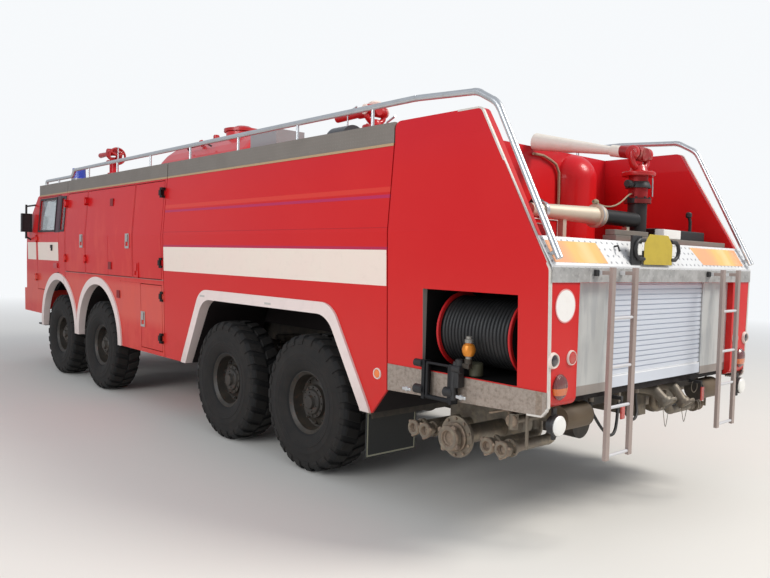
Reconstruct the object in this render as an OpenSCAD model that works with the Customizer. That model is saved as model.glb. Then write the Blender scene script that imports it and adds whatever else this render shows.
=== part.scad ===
// Airport fire truck: an eight-wheeled crash tender with a flush cab, side lockers,
// a water tank body and an open rear well between two side wings.
// +X is forward, +Y is the left side, +Z is up, and the ground is at z = 0.
// Places along the truck are stations, measured forward from the rear face.

/* [Body] */
// Width over the side walls at their fold, mm
body_w = 3000; // [2900:10:3050]
// Height of the roof edge, mm
roof_z = 3000; // [2950:10:3100]
// Height of the fold along the side walls, mm
fold_z = 2150; // [2100:10:2200]
// Bottom edge of the side skirts, mm
skirt_z = 700; // [680:10:720]
// How far the side walls lean in above and below the fold, mm
lean = 50; // [30:5:60]
// Height of the tread-plate band round the roof, mm
band_h = 165; // [150:5:180]

/* [Running gear] */
// Radius of a tyre out to its lugs, mm
tyre_r = 620; // [600:5:625]
// Width of a tyre, mm
tyre_w = 375; // [350:5:385]
// Spacing of the two front axles, mm
front_gap = 1650; // [1620:10:1680]
// Spacing of the two rear axles, mm
rear_gap = 1450; // [1400:10:1460]

/* [Openings] */
// Radius of a front wheel arch inside its lip, mm
arch_r = 735; // [725:5:745]
// Width of a wheel arch lip, mm
lip_w = 105; // [80:5:110]
// Gap round a door, mm
door_gap = 10; // [6:1:12]
// Thickness of a cab wall and a cab door, mm
wall = 60; // [50:5:65]

/* [Hidden] */
$fn = 64;
half_w = body_w / 2;
tail = 130;
band_z = roof_z - band_h;
deck_z = roof_z - 80;
band_t = 30;
band_y = half_w - lean;

// Lengths of the rear body, tank body, locker body and cab, and the stations where they end
rear_l = 1520;
tank_l = 3960;
locker_l = 3470;
cab_l = 2100;
well_front = rear_l;
tank_front = well_front + tank_l;
locker_front = tank_front + locker_l;
cab_front = locker_front + cab_l;
roof_front = cab_front - 720;
nose = cab_front + 120;
rear_x = (tail - nose) / 2;
sill_z = 1270;

// Wheels
first_axle = locker_front + 310;
last_axle = well_front + 1140;
axle = [first_axle, first_axle - front_gap, last_axle + rear_gap, last_axle];
track_y = half_w - lean - tyre_w / 2;
pin_y = track_y - 82;
rim_r = 262;
arch_z = 740;
lip_y = half_w - 115;
spindle_r = 60;
kingpin_r = 32;
run_gap = 0.06;
seat_gap = 0.3;
groove_w = 8;
groove_d = 6;

// Hinges of the doors and lids
hinge_r = 12;
hinge_pin_r = 6;
hinge_h = 64;
knuckle_h = 28;

// Elbows of bent tubes: how far a tube runs into one, and how much wider it is
elbow_lap = 5;
elbow_step = 1.5;

// Shared shapes

// Half width of the side wall at a height
function wall_y(z) =
    z >= band_z ? half_w - lean :
    z > fold_z ? half_w - lean * (z - fold_z) / (band_z - fold_z) :
    half_w - lean * (fold_z - z) / (fold_z - skirt_z);

// Heights of the corners of the side wall between two heights
function wall_steps(z0, z1) =
    concat([z0], [for (z = [fold_z, band_z]) if (z > z0 + 1 && z < z1 - 1) z], [z1]);

module placed() {
    translate([rear_x, 0, 0]) children();
}

module both_sides() {
    children();
    mirror([0, 1, 0]) children();
}

module right_side() {
    mirror([0, 1, 0]) children();
}

// Prism along the truck from an outline in y and z
module along_x(x0, x1) {
    translate([x0, 0, 0]) rotate([90, 0, 90]) linear_extrude(x1 - x0) children();
}

// Prism across the truck from an outline in x and z
module across_y(y0, y1) {
    translate([0, y1, 0]) rotate([90, 0, 0]) linear_extrude(y1 - y0) children();
}

// Slab that follows the left side wall, t deep and standing out by proud
module side_slab(x0, x1, z0, z1, t, proud = 0) {
    steps = wall_steps(z0, z1);
    n = len(steps);
    along_x(x0, x1) polygon(concat(
        [for (z = steps) [wall_y(z) + proud, z]],
        [for (i = [n - 1:-1:0]) [wall_y(steps[i]) - t, steps[i]]]));
}

// Narrow groove in the left side wall, as at a panel joint
module groove(x0, x1, z0, z1) {
    side_slab(x0, x1, z0, z1, groove_d, 1);
}

// Full-width block with both side walls
module body_block(x0, x1, z0, z1, inset = 0) {
    steps = wall_steps(z0, z1);
    n = len(steps);
    along_x(x0, x1) polygon(concat(
        [for (z = steps) [wall_y(z) - inset, z]],
        [for (i = [n - 1:-1:0]) [-(wall_y(steps[i]) - inset), steps[i]]]));
}

// Roof deck between the bands of the two sides
module roof_deck(x0, x1) {
    box(x0, x1, -(band_y - band_t), band_y - band_t, band_z - 10, deck_z);
}

module box(x0, x1, y0, y1, z0, z1) {
    translate([x0, y0, z0]) cube([x1 - x0, y1 - y0, z1 - z0]);
}

// Cylinder across the truck
module rod_y(x, y0, y1, z, r) {
    translate([x, y1, z]) rotate([90, 0, 0]) cylinder(r = r, h = y1 - y0);
}

// Cylinder along the truck
module rod_x(x0, x1, y, z, r) {
    translate([x0, y, z]) rotate([0, 90, 0]) cylinder(r = r, h = x1 - x0);
}

// Round bar between two points
module bar(a, b, r) {
    d = b - a;
    len_d = norm(d);
    translate(a) rotate([0, acos(d[2] / len_d), atan2(d[1], d[0])]) cylinder(r = r, h = len_d, $fn = 24);
}

function unit(v) = v / norm(v);

// Tube through the points, with an elbow at each inner one, of one radius or a list of them
module pipe(pts, r, bend = 45) {
    last = len(pts) - 1;
    bends = is_list(bend) ? bend : [for (p = pts) bend];
    dirs = [for (i = [0:last - 1]) unit(pts[i + 1] - pts[i])];
    turns = concat([0], [for (i = [1:last - 1]) acos(dirs[i - 1] * dirs[i])], [0]);
    cuts = [for (i = [0:last]) turns[i] == 0 ? 0 : bends[i] * tan(turns[i] / 2) - elbow_lap];
    for (i = [0:last - 1]) bar(pts[i] + dirs[i] * cuts[i], pts[i + 1] - dirs[i] * cuts[i + 1], r);
    for (i = [1:last - 1]) {
        along = dirs[i - 1];
        axis_dir = unit(cross(along, dirs[i]));
        out = cross(along, axis_dir);
        centre = pts[i] - along * (cuts[i] + elbow_lap) - out * bends[i];
        multmatrix([
            [out[0], along[0], axis_dir[0], centre[0]],
            [out[1], along[1], axis_dir[1], centre[1]],
            [out[2], along[2], axis_dir[2], centre[2]],
            [0, 0, 0, 1]
        ]) rotate_extrude(angle = turns[i]) translate([bends[i], 0]) circle(r = r + elbow_step);
    }
}

// Pin of a door hinge at [x, y], with its two end knuckles and a leaf on the wall at x1
module hinge_pin(x, y, x1, z) {
    translate([x, y, z - hinge_h / 2 - knuckle_h]) cylinder(r = hinge_pin_r, h = hinge_h + 2 * knuckle_h);
    for (dz = [-hinge_h / 2 - knuckle_h, hinge_h / 2 + 1]) {
        translate([x, y, z + dz]) cylinder(r = hinge_r, h = knuckle_h - 1);
        box(min(x, x1), max(x, x1), wall_y(z) - 14, y + 4, z + dz, z + dz + knuckle_h - 1);
    }
}

// Barrel of a door hinge at [x, y], with a leaf on the door at x1
module hinge_barrel(x, y, x1, z) {
    difference() {
        union() {
            translate([x, y, z - hinge_h / 2]) cylinder(r = hinge_r, h = hinge_h);
            box(min(x, x1), max(x, x1), wall_y(z) - 14, y + 4, z - hinge_h / 2, z + hinge_h / 2);
        }
        translate([x, y, z - hinge_h]) cylinder(r = hinge_pin_r + run_gap, h = 2 * hinge_h);
    }
}

// Running gear

module tyre() {
    h = tyre_w / 2;
    color([0.09, 0.09, 0.1]) rotate([90, 0, 0]) rotate_extrude($fn = 96)
        polygon([
            [rim_r, -125], [290, -125], [330, -(h - 16)], [400, -h], [520, -h],
            [585, -(h - 14)], [tyre_r, -(h - 34)], [tyre_r, h - 34], [585, h - 14],
            [520, h], [400, h], [330, h - 16], [290, 125], [rim_r, 125]
        ]);
}

// Rim, dished disc and hub with its ring of bolts, outer face toward +Y
module wheel() {
    color([0.13, 0.13, 0.14]) difference() {
        union() {
            rotate([90, 0, 0]) rotate_extrude($fn = 96) polygon([
                [240, -138], [290, -138], [290, -125], [rim_r, -125], [rim_r, 125], [290, 125],
                [290, 138], [240, 138], [240, -30], [190, -30], [100, -20], [100, 40], [0, 40],
                [0, -125], [110, -125], [150, -110], [150, -60], [190, -50], [240, -50]
            ]);
            for (a = [0:36:324]) rotate([0, a, 0]) translate([205, 40, 0]) rotate([-90, 0, 0])
                cylinder(r = 13, h = 32, $fn = 6);
        }
        rotate([90, 0, 0]) translate([0, 0, -70]) cylinder(r = spindle_r + run_gap, h = 140);
    }
}

module tyre_at(i) {
    placed() translate([axle[i], track_y, tyre_r]) tyre();
}

module wheel_at(i) {
    placed() translate([axle[i], track_y, tyre_r]) wheel();
}

// Steering knuckle on its kingpin, with the spindle that the wheel turns on
module knuckle() {
    color([0.16, 0.16, 0.17]) {
        rod_y(0, -55, 12, 0, 100);
        rod_y(0, 0, 142, 0, spindle_r);
        translate([0, 0, -212]) cylinder(r = kingpin_r, h = 424);
    }
}

module knuckle_at(i) {
    placed() translate([axle[i], pin_y, tyre_r]) knuckle();
}

// Half axle of a driven and steered wheel, ending in a fork round the kingpin
module steered_axle() {
    difference() {
        union() {
            rod_y(0, 120, pin_y - 165, tyre_r, 80);
            box(-60, 60, pin_y - 175, pin_y - 132, tyre_r - 205, tyre_r + 205);
            for (z = [-205, 127]) box(-45, 45, pin_y - 140, pin_y + 45, tyre_r + z, tyre_r + z + 78);
        }
        translate([0, pin_y, tyre_r - 300]) cylinder(r = kingpin_r + run_gap, h = 600);
    }
}

// Half axle of a rear wheel with its carrier and spindle
module rear_axle() {
    rod_y(0, 120, track_y - 180, tyre_r, 80);
    rod_y(0, track_y - 185, track_y - 70, tyre_r, 100);
    rod_y(0, track_y - 80, track_y + 60, tyre_r, spindle_r);
}

tow_x = 10955;
tow_z = 835;
tow_r = 22;
rail_y = 400;
rail_w = 80;
rail_z = [950, 1160];
tube_r = 130;
tube_x = [700, 9700];
housing_r = 210;
housing_l = 380;
member_z = [tyre_r + tube_r + seat_gap, rail_z[0] + 60];
spring_z = [tyre_r + 80 + seat_gap, 1000];

// Air spring on the half axle, with the bracket that joins it to the rail
module air_spring(x) {
    translate([x, 620, spring_z[0]]) rotate_extrude() {
        square([95, spring_z[1] - spring_z[0] - seat_gap]);
        for (k = [0:2]) translate([85, 55 + 95 * k]) circle(r = 42);
    }
    box(x - 90, x + 90, rail_y + rail_w + seat_gap, 740, spring_z[1], spring_z[1] + 60);
}

// Backbone tube in its five lengths, between the housings of the four axles
module backbone() {
    stops = [tube_x[0], axle[3], axle[2], axle[1], axle[0], tube_x[1]];
    reach = housing_l / 2 + seat_gap;
    for (k = [0:4]) {
        x0 = k == 0 ? stops[k] : stops[k] + reach;
        x1 = k == 4 ? stops[k + 1] : stops[k + 1] - reach;
        rod_x(x0, x1, 0, tyre_r, tube_r);
    }
}

module chassis() {
    color([0.2, 0.2, 0.21]) placed() {
        backbone();
        for (x = axle) rod_x(x - housing_l / 2, x + housing_l / 2, 0, tyre_r, housing_r);
        both_sides() {
            for (i = [0, 1]) translate([axle[i], 0, 0]) steered_axle();
            for (i = [2, 3]) translate([axle[i], 0, 0]) rear_axle();
            for (x = axle) air_spring(x);
            box(300, 10700, rail_y, rail_y + rail_w, rail_z[0], rail_z[1]);
            box(10240, 10400, rail_y, rail_y + rail_w, rail_z[1] + seat_gap, sill_z - seat_gap);
            reservoir();
            tow_lug();
            mudflap();
        }
        for (x = [760, 1900, 3385, 4900, 6400, 8435, 9640]) cross_member(x - 60, x + 60, member_z);
        for (x = [300, 10640]) cross_member(x, x + 60, rail_z);
        engine();
    }
}

// Bearer between the two rails
module cross_member(x0, x1, z) {
    y = rail_y - seat_gap;
    box(x0, x1, -y, y, z[0], z[1]);
}

// Air reservoir on its strap under the tail
module reservoir() {
    rod_y(150, 832, 1140, 900, 88);
    box(150, 312, rail_y + rail_w + seat_gap, 900, rail_z[0], rail_z[0] + 50);
}

// Front towing lug with a bore for a shackle, on the end of the rail
module tow_lug() {
    difference() {
        box(10700 + seat_gap, 11000, 420, 460, 790, rail_z[0] + 60);
        rod_y(tow_x, 400, 480, tow_z, tow_r);
    }
}

engine_x = [axle[1] - 620, axle[1] + 640];

// Engine as one plain block on its four mounts
module engine() {
    box(engine_x[0], engine_x[1], -360, 360, rail_z[0] + 110, 1800);
    for (x = [engine_x[0] + 70, engine_x[1] - 130]) cross_member(x, x + 60, [rail_z[0] + 120, rail_z[1] - 20]);
}

flap_x = 1770;
flap_t = 12;

// Rubber mudflap behind the rear wheel on its bracket
module mudflap() {
    y = rail_y + rail_w + seat_gap;
    box(flap_x, flap_x + flap_t, 880, 1440, 310, skirt_z - seat_gap);
    box(flap_x - 30, flap_x + 1, y, 1400, 640, 690);
    box(flap_x - 30, flap_x + 1, y, y + 60, 640, rail_z[0] + 30);
}

// Cab

glass_t = 10;
door_x = [locker_front + 280, roof_front - 30];
door_z = [sill_z + 20, 2790];
window_z = [2250, 2750];
door_window_x = [door_x[0] + 200, door_x[1] - 70];
quarter_x = [locker_front + 40, locker_front + 220];
screen_y = half_w - 200;
sill_y = half_w - 170;
cab_floor_z = 1640;
cab_hinge_x = door_x[1] + door_gap / 2;
cab_hinge_y = half_w + 13;
cab_hinge_z = [1480, 2120];

module cab_outline(inset = 0) {
    translate([0, 0]) offset(delta = -inset) polygon([
        [locker_front, sill_z], [cab_front - 60, sill_z], [cab_front, sill_z + 130],
        [cab_front - 20, 2130], [roof_front + 80, band_z - 20], [roof_front, band_z],
        [roof_front - band_t, band_z], [roof_front - band_t, deck_z], [locker_front, deck_z]
    ]);
}

module cab_plan(inset = 0) {
    r = 220 - inset;
    x1 = cab_front - inset;
    y1 = half_w - inset;
    hull() {
        translate([locker_front - 400, -y1]) square([100, 2 * y1]);
        for (s = [-1, 1]) translate([x1 - r, s * (y1 - r)]) circle(r = r);
    }
}

module windscreen_tool(y1) {
    across_y(-y1, y1) polygon([
        [cab_front - 200, 2210], [cab_front + 100, 2210], [cab_front + 100, 2760],
        [roof_front - 60, 2760]
    ]);
}

module arch_cut(i, y0) {
    rod_y(axle[i], y0, half_w + 50, arch_z, arch_r);
    box(axle[i] - arch_r, axle[i] + arch_r, y0, half_w + 50, 500, arch_z);
    rod_y(axle[i], lip_y, half_w + 50, arch_z, arch_r + lip_w);
    box(axle[i] - arch_r - lip_w, axle[i] + arch_r + lip_w, lip_y, half_w + 50, 500, arch_z);
}

module cab_shell() {
    color([0.78, 0.13, 0.13]) placed() difference() {
        union() {
            intersection() {
                body_block(locker_front, cab_front, sill_z, deck_z);
                across_y(-half_w, half_w) cab_outline();
                linear_extrude(4000) cab_plan();
            }
            both_sides() {
                side_slab(locker_front, axle[0] + 860, skirt_z, sill_z + 10, wall);
                for (z = cab_hinge_z) hinge_pin(cab_hinge_x, cab_hinge_y, cab_hinge_x + 45, z);
            }
            monitor_base(monitors[0]);
        }
        difference() {
            intersection() {
                body_block(locker_front + wall, cab_front, sill_z + wall, deck_z - wall, wall);
                across_y(-half_w, half_w) cab_outline(wall);
                linear_extrude(4000) cab_plan(wall);
            }
            box(locker_front, axle[0] + 820, -half_w, half_w, sill_z, cab_floor_z);
        }
        box(locker_front + 60, axle[0] + 760, -sill_y, sill_y, 1000, cab_floor_z - wall);
        windscreen_tool(screen_y);
        for (k = [0:5]) box(cab_front - 30, cab_front + 10, -620, 620, 1480 + 70 * k, 1515 + 70 * k);
        both_sides() {
            box(locker_front - 10, cab_front, band_y - band_t, half_w, band_z, roof_z);
            side_slab(quarter_x[0], quarter_x[1], window_z[0], window_z[1], wall + 5, 5);
            side_slab(door_x[0] - door_gap, door_x[1] + door_gap, door_z[0] - door_gap,
                door_z[1] + door_gap, wall + 6, 0.5);
            arch_cut(0, 600);
        }
    }
}

module cab_glass() {
    color([0.35, 0.42, 0.45, 0.5]) placed() {
        intersection() {
            windscreen_tool(screen_y);
            difference() {
                across_y(-half_w, half_w) cab_outline(20);
                across_y(-half_w, half_w) cab_outline(20 + glass_t);
            }
        }
        both_sides() side_slab(quarter_x[0], quarter_x[1], window_z[0], window_z[1], 20 + glass_t, -20);
    }
}

module cab_door() {
    placed() color([0.78, 0.13, 0.13]) {
        difference() {
            side_slab(door_x[0], door_x[1], door_z[0], door_z[1], wall);
            side_slab(door_window_x[0], door_window_x[1], window_z[0], window_z[1], wall + 5, 5);
            rod_y(axle[0], 600, 1600, arch_z, arch_r + lip_w + door_gap);
        }
        for (z = cab_hinge_z) hinge_barrel(cab_hinge_x, cab_hinge_y, cab_hinge_x - 50, z);
    }
}

module door_glass() {
    placed() color([0.35, 0.42, 0.45, 0.5])
        side_slab(door_window_x[0], door_window_x[1], window_z[0], window_z[1], 20 + glass_t, -20);
}

seat_z = cab_floor_z;

module seat(x, y) {
    translate([x, y, seat_z]) {
        box(-150, 150, -180, 180, 0, 160);
        box(-260, 260, -240, 240, 150, 290);
        translate([-240, -230, 230]) rotate([0, -8, 0]) cube([110, 460, 660]);
    }
}

module seats() {
    for (y = [-880, 0, 880]) seat(locker_front + 830, y);
    box(locker_front + 80, locker_front + 450, -(half_w - 250), half_w - 250, seat_z, seat_z + 380);
}

// Dashboard on its feet, with the steering wheel
module dashboard() {
    dash = [cab_front - 500, cab_front - 410, cab_front - 190];
    wheel_x = cab_front - 650;
    across_y(-screen_y, screen_y) polygon([[dash[0], 1900], [dash[2], 1900], [dash[2], 2140], [dash[1], 2140]]);
    bar([dash[1], 800, 1980], [wheel_x, 800, 2165.5], 30);
    translate([wheel_x, 800, 2165]) rotate([0, -52, 0]) {
        rotate_extrude() translate([230, 0]) circle(r = 20);
        for (a = [0:120:240]) rotate([0, 0, a]) bar([0, 0, 0], [225, 0, 0], 14);
    }
    both_sides() box(dash[2] - 160, dash[2], 400, 460, sill_z + wall, 1905);
}

module cab_interior() {
    color([0.2, 0.2, 0.22]) placed() seats();
    color([0.12, 0.12, 0.13]) placed() dashboard();
}

lamp_y = half_w - 440;
bumper_rear = axle[0] + 865;
bumper_r = 200;
step_x = [axle[0] + 880, axle[0] + 1180];
step_z = 690;

module bumper() {
    color([0.8, 0.2, 0.19]) placed() difference() {
        intersection() {
            body_block(bumper_rear, nose, 880, sill_z);
            linear_extrude(3000) hull() {
                translate([bumper_rear - 125, -half_w]) square([100, body_w]);
                for (s = [-1, 1]) translate([nose - bumper_r, s * (half_w - bumper_r - 10)]) circle(r = bumper_r);
            }
        }
        box(bumper_rear - 125, nose - 160, -sill_y, sill_y, 800, sill_z + 30);
        for (s = [-1, 1]) translate([nose - 60, s * lamp_y, 1070]) rotate([0, 90, 0]) cylinder(r = 105, h = 100);
    }
    color([0.1, 0.1, 0.11]) placed() both_sides() step();
}

// Stirrup step below the bumper
module step() {
    for (x = step_x) box(x - 20, x + 20, sill_y, sill_y + 15, step_z, 940);
    box(step_x[0] - 20, step_x[1] + 20, sill_y - 60, sill_y + 80, step_z - 12, step_z + 12);
}

module mirrors() {
    color([0.1, 0.1, 0.11]) placed() both_sides() {
        x = cab_front - 450;
        y = half_w + 85;
        bar([x - 120, half_w - 100, 2700], [x, y, 2660], 14);
        bar([x + 60, half_w - 30, 2090], [x, y, 2150], 14);
        translate([x, y, 2120]) cylinder(r = 17, h = 570);
        difference() {
            box(x - 50, x + 30, y - 80, y + 80, 2230, 2540);
            box(x - 60, x - 35, y - 65, y + 65, 2245, 2525);
        }
    }
}

// Lockers behind the cab

locker_top = band_z - 45;
locker_z = 1625;
seam_z = 1555;
upper_hinges = [1820, locker_top - 140];

// Doors of one side. Columns: rear edge, front edge, bottom, top, station of the hinge, how far
// its line lies outside the fold, end of its fixed leaf, end of its moving leaf, its two heights
locker_doors = [
    [locker_front - 870, locker_front - 57, locker_z, locker_top,
        locker_front - 52, 10, locker_front - 18, locker_front - 100, upper_hinges],
    [locker_front - 2548, locker_front - 910, locker_z, locker_top,
        locker_front - 905, 10, locker_front - 882, locker_front - 950, upper_hinges],
    [tank_front + 65, locker_front - 2584, locker_z, locker_top,
        tank_front + 60, 10, tank_front + 20, tank_front + 110, upper_hinges],
    [tank_front + 65, tank_front + 665, skirt_z + 60, seam_z - door_gap,
        tank_front + 60, -10, tank_front + 20, tank_front + 110, [920, 1420]]
];
locker_t = 40;
pocket_y = 900;
locker_floor = locker_z - door_gap;
module_x = tank_front + 690;
seam_x = [tank_front + 620, axle[1] - 810];

// Recess of each door and the locker behind it, with the wheel arches
module locker_cuts() {
    both_sides() {
        for (d = locker_doors) {
            side_slab(d[0] - door_gap, d[1] + door_gap, d[2] - door_gap, d[3] + door_gap, locker_t + 6, 20);
            box(d[0] + 40, d[1] - 40, pocket_y, half_w - 40, d[2] + 40, d[3] - 40);
        }
        groove(seam_x[0], seam_x[1], seam_z - groove_w / 2, seam_z + groove_w / 2);
        for (i = [0, 1]) arch_cut(i, 600);
    }
}

module locker_body() {
    x0 = tank_front + 12;
    x1 = locker_front - 12;
    z1 = locker_floor - seat_gap;
    color([0.78, 0.13, 0.13]) placed() {
        difference() {
            union() {
                body_block(x0, x1, locker_floor, band_z);
                roof_deck(x0, x1);
            }
            locker_cuts();
            box(engine_x[0] - 90, engine_x[1] + 90, -rail_y, rail_y, 1000, 2000);
        }
        difference() {
            body_block(x0, x1, skirt_z, z1);
            locker_cuts();
            box(x0 - 10, x1 + 10, -rail_y, rail_y, 0, 2000);
            box(x0 - 10, x1 + 10, -600, 600, 0, rail_z[1] + seat_gap);
            box(module_x, module_x + seat_gap, -half_w - 10, half_w + 10, 0, 2000);
        }
    }
    color([0.12, 0.12, 0.13]) placed() both_sides() {
        for (d = locker_doors) for (z = d[8]) hinge_pin(d[4], half_w + d[5], d[6], z);
        plate_catch(axle[1] - 760, 1380);
    }
}

// Raised catch plate on the left side wall
module plate_catch(x, z) {
    box(x - 50, x + 50, wall_y(z) - 10, wall_y(z) + 12, z - 50, z + 50);
}

// Paddle latch on the left side wall: a plate, its finger hollow and the handle bar
module paddle_latch(x, z) {
    difference() {
        box(x - 60, x + 60, wall_y(z) - 12, wall_y(z) + 10, z - 95, z + 95);
        box(x - 42, x + 42, wall_y(z) - 4, wall_y(z) + 20, z - 65, z + 78);
    }
    box(x - 30, x + 30, wall_y(z) - 6, wall_y(z) + 18, z - 10, z + 86);
}

module locker_door(k) {
    d = locker_doors[k];
    placed() {
        color([0.78, 0.13, 0.13]) difference() {
            side_slab(d[0], d[1], d[2], d[3], locker_t);
            if (k == 1) groove(d[0] + 798, d[0] + 798 + groove_w, d[2] - 1, fold_z);
        }
        color([0.12, 0.12, 0.13]) for (z = d[8]) hinge_barrel(d[4], half_w + d[5], d[7], z);
        color([0.7, 0.71, 0.72]) {
            if (k == 0) paddle_latch(d[0] + 120, 2080);
            if (k == 1) paddle_latch(d[0] + 130, 2080);
            if (k == 2) paddle_latch(d[1] - 110, locker_z + 90);
            if (k == 3) paddle_latch(d[1] - 65, 1110);
        }
        color([0.5, 0.1, 0.1]) if (k == 1) for (z = [1750, 2600]) plate_catch(d[0] + 728, z);
    }
}

// Tank body

arch_ends = [axle[3] - 960, axle[2] + 930];
arch_top = [axle[3] - 450, axle[2] + 450];
double_arch = [
    [arch_ends[1], 0], [arch_ends[1], skirt_z], [arch_top[1], 1555], [arch_top[0], 1555],
    [arch_ends[0], skirt_z], [arch_ends[0], 0]
];

module arch_outline(inset = 0) {
    offset(r = 260) offset(delta = -260 - inset) polygon(double_arch);
}

// Long rounded cover on the roof: stations of its end domes, its top
hump = [tank_front - 80, tank_front + 2220];
hump_top = deck_z + 700;
hatch_x = tank_front + 770;
hatch_r = 260;
hatch_lift = 5;
hatch_hinge = [hatch_x + hatch_r + 18, hump_top + hatch_lift];

// Long cover with a flat collar for the hatch, and the ears of the hatch hinge
module roof_hump() {
    color([0.8, 0.22, 0.22]) difference() {
        union() {
            hull() for (x = hump) translate([x, 0, deck_z - 100]) scale([1, 1.6, 1.85]) sphere(r = 400, $fn = 32);
            translate([hatch_x, 0, deck_z + seat_gap]) cylinder(r = 230, h = hump_top - deck_z - seat_gap);
            for (y = [-70, 40]) box(hatch_hinge[0] - 14, hatch_hinge[0] + 14, y, y + 30, 3400, hatch_hinge[1] + 14);
            rod_y(hatch_hinge[0], -60, 60, hatch_hinge[1], 8);
        }
        box(hump[0] - 1000, hump[1] + 1000, -1000, 1000, 2000, deck_z + seat_gap);
    }
}

// Low roof boxes, the case of the folded ladder and the round lid behind it
module roof_fittings() {
    placed() {
        roof_hump();
        color([0.6, 0.6, 0.6]) {
            box(3900, 4420, 620, 980, deck_z + seat_gap, 3290);
            box(2750, 3150, 660, 940, deck_z + seat_gap, 3060);
            rod_x(2820, 3080, 800, deck_z + seat_gap + 150, 150);
        }
    }
}

module tank_body() {
    color([0.78, 0.13, 0.13]) placed() difference() {
        union() {
            body_block(well_front, tank_front, skirt_z, band_z);
            roof_deck(well_front, tank_front);
            monitor_base(monitors[1]);
        }
        across_y(-half_w - 10, half_w + 10) polygon([
            [well_front - 10, 0], [arch_ends[0], 0], [arch_ends[0], skirt_z], [well_front - 10, 920]
        ]);
        box(1400, tank_front + 10, -600, 600, 0, rail_z[1] + seat_gap);
        both_sides() {
            across_y(600, 1600) arch_outline(lip_w);
            across_y(lip_y, 1600) arch_outline();
        }
    }
}

// Rear body with its side wings

wing_t = 80;
well_y = half_w - wing_t;
plate_half = half_w - 22;
tank_end_r = 250;
deck_rear_z = 2150;
panel_y = 1160;
recess = 80;
pump_z = 1020;
slope_foot = [0, 1925];
slope_top = [115, 2110];
plate_off = [-0.25, 0.16];
plate_skin = [-9, 6];
slope_dir = unit(slope_top - slope_foot);
slope_out = [-slope_dir[1], slope_dir[0]];
reel_x = [245, 1120];
reel_z = [1135, 1730];
shutter_y = 700;
shutter_z = pump_z + 54;

module wing_outline() {
    offset(r = 60) offset(delta = -60) polygon([
        [0, pump_z], [well_front - 12, pump_z], [well_front - 12, roof_z], [640, roof_z], [0, slope_foot[1] - 20]
    ]);
}

module rear_body() {
    color([0.78, 0.13, 0.13]) placed() difference() {
        union() {
            intersection() {
                body_block(0, well_front - 12, pump_z, deck_rear_z - 220);
                across_y(-half_w, half_w) wing_outline();
            }
            across_y(-well_y, well_y) polygon([
                slope_foot, slope_top, [well_front - 12, slope_top[1]], [well_front - 12, slope_foot[1]]
            ]);
            box(well_front - 92, well_front - 12, -well_y, well_y, pump_z, roof_z);
            tank_end();
            both_sides() intersection() {
                side_slab(0, well_front - 12, pump_z, roof_z, wing_t);
                across_y(0, half_w) wing_outline();
            }
        }
        box(-10, recess, -panel_y, panel_y, pump_z - 10, 1820);
        box(-10, 140, -shutter_y, shutter_y, shutter_z - 4, 1815);
        box(290, well_front, -600, 600, 0, rail_z[1] + seat_gap);
        both_sides() {
            box(reel_x[0], reel_x[1], 800, half_w + 10, reel_z[0], reel_z[1]);
            translate([reel_x[0] - 25, 1150, 1430]) rotate([0, 90, 0])
                cylinder(r = 30 + run_gap, h = reel_x[1] - reel_x[0] + 50);
        }
    }
}

// Rounded end of the foam tank, on the wall that closes the well
module tank_end() {
    intersection() {
        translate([well_front - 60, -820, slope_top[1] - 1]) rotate_extrude() {
            square([tank_end_r, 640]);
            translate([0, 640]) intersection() {
                circle(r = tank_end_r);
                square([tank_end_r + 10, tank_end_r - 12]);
            }
        }
        box(0, well_front - 20, -1200, 0, 2000, 4000);
    }
}

band_parts = [[well_front, tank_front - 6], [tank_front + 12, locker_front - 12],
    [locker_front, roof_front - band_t]];

// Tread-plate band round the roof with a thin strip below it
module kick_band() {
    color([0.55, 0.53, 0.5]) placed() {
        both_sides() for (p = band_parts) {
            box(p[0], p[1], band_y - band_t, band_y + 2 * seat_gap, band_z, roof_z);
            side_slab(p[0], p[1], band_z - 18, band_z + 4, -seat_gap, 5);
        }
        box(roof_front - band_t, roof_front, -band_y, band_y, band_z, roof_z);
    }
}

rail_tube = 24;
rail_top = 3150;
rail_foot = [-28, 1975];

module handrails() {
    color([0.75, 0.76, 0.77]) placed() both_sides() {
        y = half_w - lean - 15;
        x = [roof_front - 320, locker_front - 150, locker_front - 250];
        pipe([
            [x[0], y, roof_z], [x[0], y, rail_top - 90], [x[1], y, rail_top - 90], [x[2], y, rail_top],
            [1300, y, rail_top], [690, y, rail_top - 40], [510, y, rail_top - 140],
            [rail_foot[0], y, rail_foot[1]]
        ], rail_tube, [0, 45, 100, 100, 160, 160, 160, 0]);
        foot = [rail_foot[0] + 24, rail_foot[1] + 50];
        reach = slope_dir * (foot - slope_foot - plate_skin);
        seat = slope_foot + plate_skin + reach * slope_dir + 0.3 * slope_out;
        bar([foot[0], y, foot[1]], [seat[0], y, seat[1]], 14);
        for (k = [0:6]) bar([1800 + 1050 * k, y, roof_z], [1800 + 1050 * k, y, rail_top], 14);
        bar([x[1] + 600, y, roof_z], [x[1] + 600, y, rail_top - 90], 14);
    }
}

// Monitors: each turns on its base pipe, and its barrel tilts in the head
// Columns: station, y, height of the foot, height of the base pipe, barrel length, mouth radius
monitors = [
    [9830, 400, deck_z, 534, 620, 44],
    [2980, 400, deck_z, 334, 620, 44],
    [360, -150, 2110, 545, 1040, 78]
];
spigot_r = 40;
trunnion_r = 30;
head_z = 180;

// Base pipe of a monitor, sunk into the deck that it is welded to or seated on the floor
module monitor_base(m, sunk = 1) {
    translate([m[0], m[1], m[2] - sunk]) {
        cylinder(r = 150, h = 30 + sunk);
        cylinder(r = 75, h = m[3] + sunk);
        translate([0, 0, m[3] * 0.6]) cylinder(r = 105, h = 40);
        cylinder(r = spigot_r, h = m[3] + 40 + sunk);
    }
}

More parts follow.
